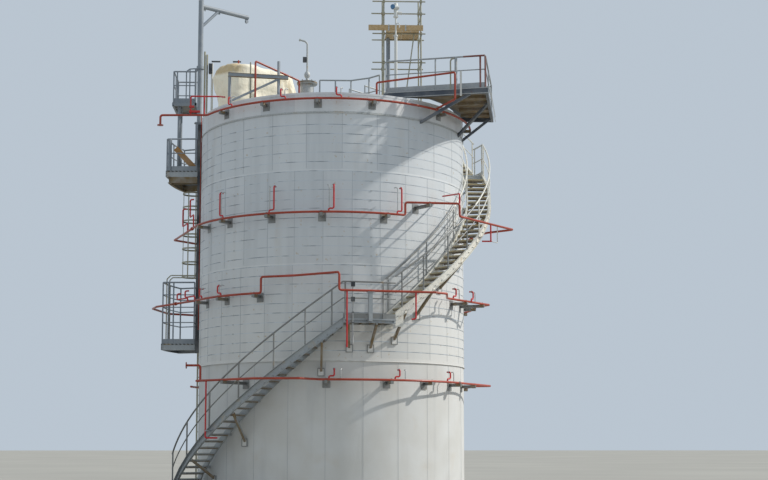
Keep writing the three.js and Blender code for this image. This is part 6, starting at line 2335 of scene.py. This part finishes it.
def make_lights():
    sun = bpy.data.lights.new("sun", "SUN")
    sun.energy = SUN_STRENGTH
    sun.angle = math.radians(SUN_SPREAD)
    sun.color = SUN_COLOUR
    lamp = bpy.data.objects.new("sun", sun)
    lamp.rotation_euler = Vector(SUN_DIRECTION).to_track_quat("-Z", "Y").to_euler()
    bpy.context.scene.collection.objects.link(lamp)
    world = bpy.data.worlds.new("overcast")
    bpy.context.scene.world = world
    world.use_nodes = True
    world.node_tree.nodes.clear()
    sky = add(
        world.node_tree, "ShaderNodeBackground", {"Color": hex_colour(SKY_COLOUR), "Strength": SKY_STRENGTH}
    )
    add(world.node_tree, "ShaderNodeOutputWorld", {"Surface": sky.outputs[0]})
    bpy.context.scene.view_settings.view_transform = "Standard"


def make_camera():
    data = bpy.data.cameras.new("camera")
    data.sensor_width = 36.0
    data.lens = CAMERA_FOCAL_PIXELS / PICTURE_WIDTH * data.sensor_width
    data.shift_y = CAMERA_SHIFT
    data.clip_end = 1000
    camera = bpy.data.objects.new("camera", data)
    yaw, pitch = math.radians(CAMERA_YAW), math.radians(CAMERA_PITCH)
    camera.location = CAMERA_PLACE
    camera.rotation_euler = (math.pi / 2 + pitch, 0, -yaw)
    bpy.context.scene.collection.objects.link(camera)
    bpy.context.scene.camera = camera


# Operators


class TANK_OT_wall_sheets(bpy.types.Operator):
    """Curved cladding sheets with raised laps on each course of the wall"""

    bl_idname = "tank.wall_sheets"
    bl_label = "Wall sheets"

    def execute(self, context):
        make_wall_sheets()
        return {"FINISHED"}


class TANK_OT_straps(bpy.types.Operator):
    """Straps and buckles that hold the sheets"""

    bl_idname = "tank.straps"
    bl_label = "Wall straps"

    def execute(self, context):
        make_straps()
        return {"FINISHED"}


class TANK_OT_flashings(bpy.types.Operator):
    """Folded flashings where courses meet"""

    bl_idname = "tank.flashings"
    bl_label = "Flashings"

    def execute(self, context):
        make_flashings()
        return {"FINISHED"}


class TANK_OT_fascia(bpy.types.Operator):
    """Sheets and trim of the top band, and the roof's standing seams"""

    bl_idname = "tank.fascia"
    bl_label = "Fascia and roof seams"

    def execute(self, context):
        make_fascia()
        return {"FINISHED"}


class TANK_OT_stair(bpy.types.Operator):
    """Nosings, pans and bolts of the three flights, and their struts"""

    bl_idname = "tank.stair"
    bl_label = "Stair fittings"

    def execute(self, context):
        make_treads()
        make_stair_bolts()
        make_struts()
        return {"FINISHED"}


class TANK_OT_handrails(bpy.types.Operator):
    """Tube railings of the flights and landings"""

    bl_idname = "tank.handrails"
    bl_label = "Handrails"

    def execute(self, context):
        make_handrails()
        return {"FINISHED"}


class TANK_OT_lower_main(bpy.types.Operator):
    """The lowest ring main in both lengths"""

    bl_idname = "tank.lower_main"
    bl_label = "Lower main"

    def execute(self, context):
        make_lower_main()
        return {"FINISHED"}


class TANK_OT_middle_main(bpy.types.Operator):
    """The middle ring main in both lengths"""

    bl_idname = "tank.middle_main"
    bl_label = "Middle main"

    def execute(self, context):
        make_middle_main()
        return {"FINISHED"}


class TANK_OT_upper_main(bpy.types.Operator):
    """The upper ring main in both lengths"""

    bl_idname = "tank.upper_main"
    bl_label = "Upper main"

    def execute(self, context):
        make_upper_main()
        return {"FINISHED"}


class TANK_OT_top_main(bpy.types.Operator):
    """The top ring main and its roof feed"""

    bl_idname = "tank.top_main"
    bl_label = "Top main"

    def execute(self, context):
        make_top_main()
        return {"FINISHED"}


class TANK_OT_pipe_brackets(bpy.types.Operator):
    """Stub beams, pads and U-bolts under the mains"""

    bl_idname = "tank.pipe_brackets"
    bl_label = "Pipe brackets"

    def execute(self, context):
        make_pipe_brackets()
        return {"FINISHED"}


class TANK_OT_nozzles(bpy.types.Operator):
    """Deflector nozzles and the thin lines beside the risers"""

    bl_idname = "tank.nozzles"
    bl_label = "Nozzles"

    def execute(self, context):
        make_nozzles()
        return {"FINISHED"}


class TANK_OT_ladders(bpy.types.Operator):
    """The caged ladder and the access ladder"""

    bl_idname = "tank.ladders"
    bl_label = "Ladders"

    def execute(self, context):
        make_ladders()
        return {"FINISHED"}


class TANK_OT_side_platforms(bpy.types.Operator):
    """The lower and upper platforms on the left side"""

    bl_idname = "tank.side_platforms"
    bl_label = "Side platforms"

    def execute(self, context):
        make_side_platforms()
        return {"FINISHED"}


class TANK_OT_high_platform(bpy.types.Operator):
    """The small platform beside the davit's mast"""

    bl_idname = "tank.high_platform"
    bl_label = "High platform"

    def execute(self, context):
        make_high_platform()
        return {"FINISHED"}


class TANK_OT_duct(bpy.types.Operator):
    """Straps on the cable duct and the line beside it"""

    bl_idname = "tank.duct"
    bl_label = "Cable duct"

    def execute(self, context):
        make_channel_cover()
        return {"FINISHED"}


class TANK_OT_davit(bpy.types.Operator):
    """The turning arm with its lifting plate, and the socket's fittings"""

    bl_idname = "tank.davit"
    bl_label = "Davit"

    def execute(self, context):
        make_davit()
        make_socket_fittings()
        return {"FINISHED"}


class TANK_OT_vent(bpy.types.Operator):
    """The vent's body with its flange and goose neck"""

    bl_idname = "tank.vent"
    bl_label = "Roof vent"

    def execute(self, context):
        make_vent()
        return {"FINISHED"}


class TANK_OT_cover(bpy.types.Operator):
    """The draped sheeting on the roof"""

    bl_idname = "tank.cover"
    bl_label = "Sheeting"

    def execute(self, context):
        make_cover()
        return {"FINISHED"}


class TANK_OT_roof_pipes(bpy.types.Operator):
    """The roof's red pipe, its poles and the flanges of the pipe frame"""

    bl_idname = "tank.roof_pipes"
    bl_label = "Roof pipes"

    def execute(self, context):
        make_roof_frame_fittings()
        return {"FINISHED"}


class TANK_OT_scaffold(bpy.types.Operator):
    """Tubes, couplers and boards of the scaffold tower"""

    bl_idname = "tank.scaffold"
    bl_label = "Scaffold"

    def execute(self, context):
        make_scaffold()
        make_boards()
        return {"FINISHED"}


class TANK_OT_masts(bpy.types.Operator):
    """The roof column and the instrument mast"""

    bl_idname = "tank.masts"
    bl_label = "Masts"

    def execute(self, context):
        make_masts()
        return {"FINISHED"}


class TANK_OT_roof_rails(bpy.types.Operator):
    """Railings on the roof and on its walkway"""

    bl_idname = "tank.roof_rails"
    bl_label = "Roof railings"

    def execute(self, context):
        make_roof_walkway()
        return {"FINISHED"}


class TANK_OT_top_right_rail(bpy.types.Operator):
    """Railing, soffit and edge of the platform at the top right"""

    bl_idname = "tank.top_right_rail"
    bl_label = "Top right platform"

    def execute(self, context):
        make_top_right_rail()
        return {"FINISHED"}


class TANK_OT_wall_fittings(bpy.types.Operator):
    """Conduit beside the landing and steel left on the side platform"""

    bl_idname = "tank.wall_fittings"
    bl_label = "Wall fittings"

    def execute(self, context):
        make_wall_fittings()
        make_loose_gear()
        return {"FINISHED"}


class TANK_OT_finishes(bpy.types.Operator):
    """The finish of each frame node that still shows"""

    bl_idname = "tank.finishes"
    bl_label = "Finishes"

    def execute(self, context):
        dress_frame()
        return {"FINISHED"}


class TANK_OT_stage(bpy.types.Operator):
    """The floor, the light and the camera"""

    bl_idname = "tank.stage"
    bl_label = "Stage"

    def execute(self, context):
        make_stage()
        make_lights()
        make_camera()
        return {"FINISHED"}


OPERATORS = (
    TANK_OT_wall_sheets,
    TANK_OT_straps,
    TANK_OT_flashings,
    TANK_OT_fascia,
    TANK_OT_stair,
    TANK_OT_handrails,
    TANK_OT_lower_main,
    TANK_OT_middle_main,
    TANK_OT_upper_main,
    TANK_OT_top_main,
    TANK_OT_pipe_brackets,
    TANK_OT_nozzles,
    TANK_OT_ladders,
    TANK_OT_side_platforms,
    TANK_OT_high_platform,
    TANK_OT_duct,
    TANK_OT_davit,
    TANK_OT_vent,
    TANK_OT_cover,
    TANK_OT_roof_pipes,
    TANK_OT_scaffold,
    TANK_OT_masts,
    TANK_OT_roof_rails,
    TANK_OT_top_right_rail,
    TANK_OT_wall_fittings,
    TANK_OT_finishes,
    TANK_OT_stage,
)


class TANK_PT_pieces(bpy.types.Panel):
    """Lists the sizes, the colours and the operators that build the tank"""

    bl_idname = "TANK_PT_pieces"
    bl_label = "Storage Tank"
    bl_space_type = "VIEW_3D"
    bl_region_type = "UI"
    bl_category = "Storage Tank"

    def draw(self, context):
        for group in (context.scene.tank_sizes, context.scene.tank_colours):
            column = self.layout.column(align=True)
            for name in group.bl_rna.properties.keys():
                if name not in {"rna_type", "name"}:
                    column.prop(group, name)
        column = self.layout.column(align=True)
        for kind in OPERATORS:
            column.operator(kind.bl_idname)


CLASSES = (TankColours, TankSizes, *OPERATORS, TANK_PT_pieces)


def register():
    for kind in CLASSES:
        bpy.utils.register_class(kind)
    bpy.types.Scene.tank_colours = bpy.props.PointerProperty(type=TankColours)
    bpy.types.Scene.tank_sizes = bpy.props.PointerProperty(type=TankSizes)


def unregister():
    del bpy.types.Scene.tank_sizes
    del bpy.types.Scene.tank_colours
    for kind in reversed(CLASSES):
        bpy.utils.unregister_class(kind)


def main():
    register()
    for kind in OPERATORS:
        name = kind.bl_idname.partition(".")[2]
        getattr(bpy.ops.tank, name)()


if __name__ == "__main__":
    main()
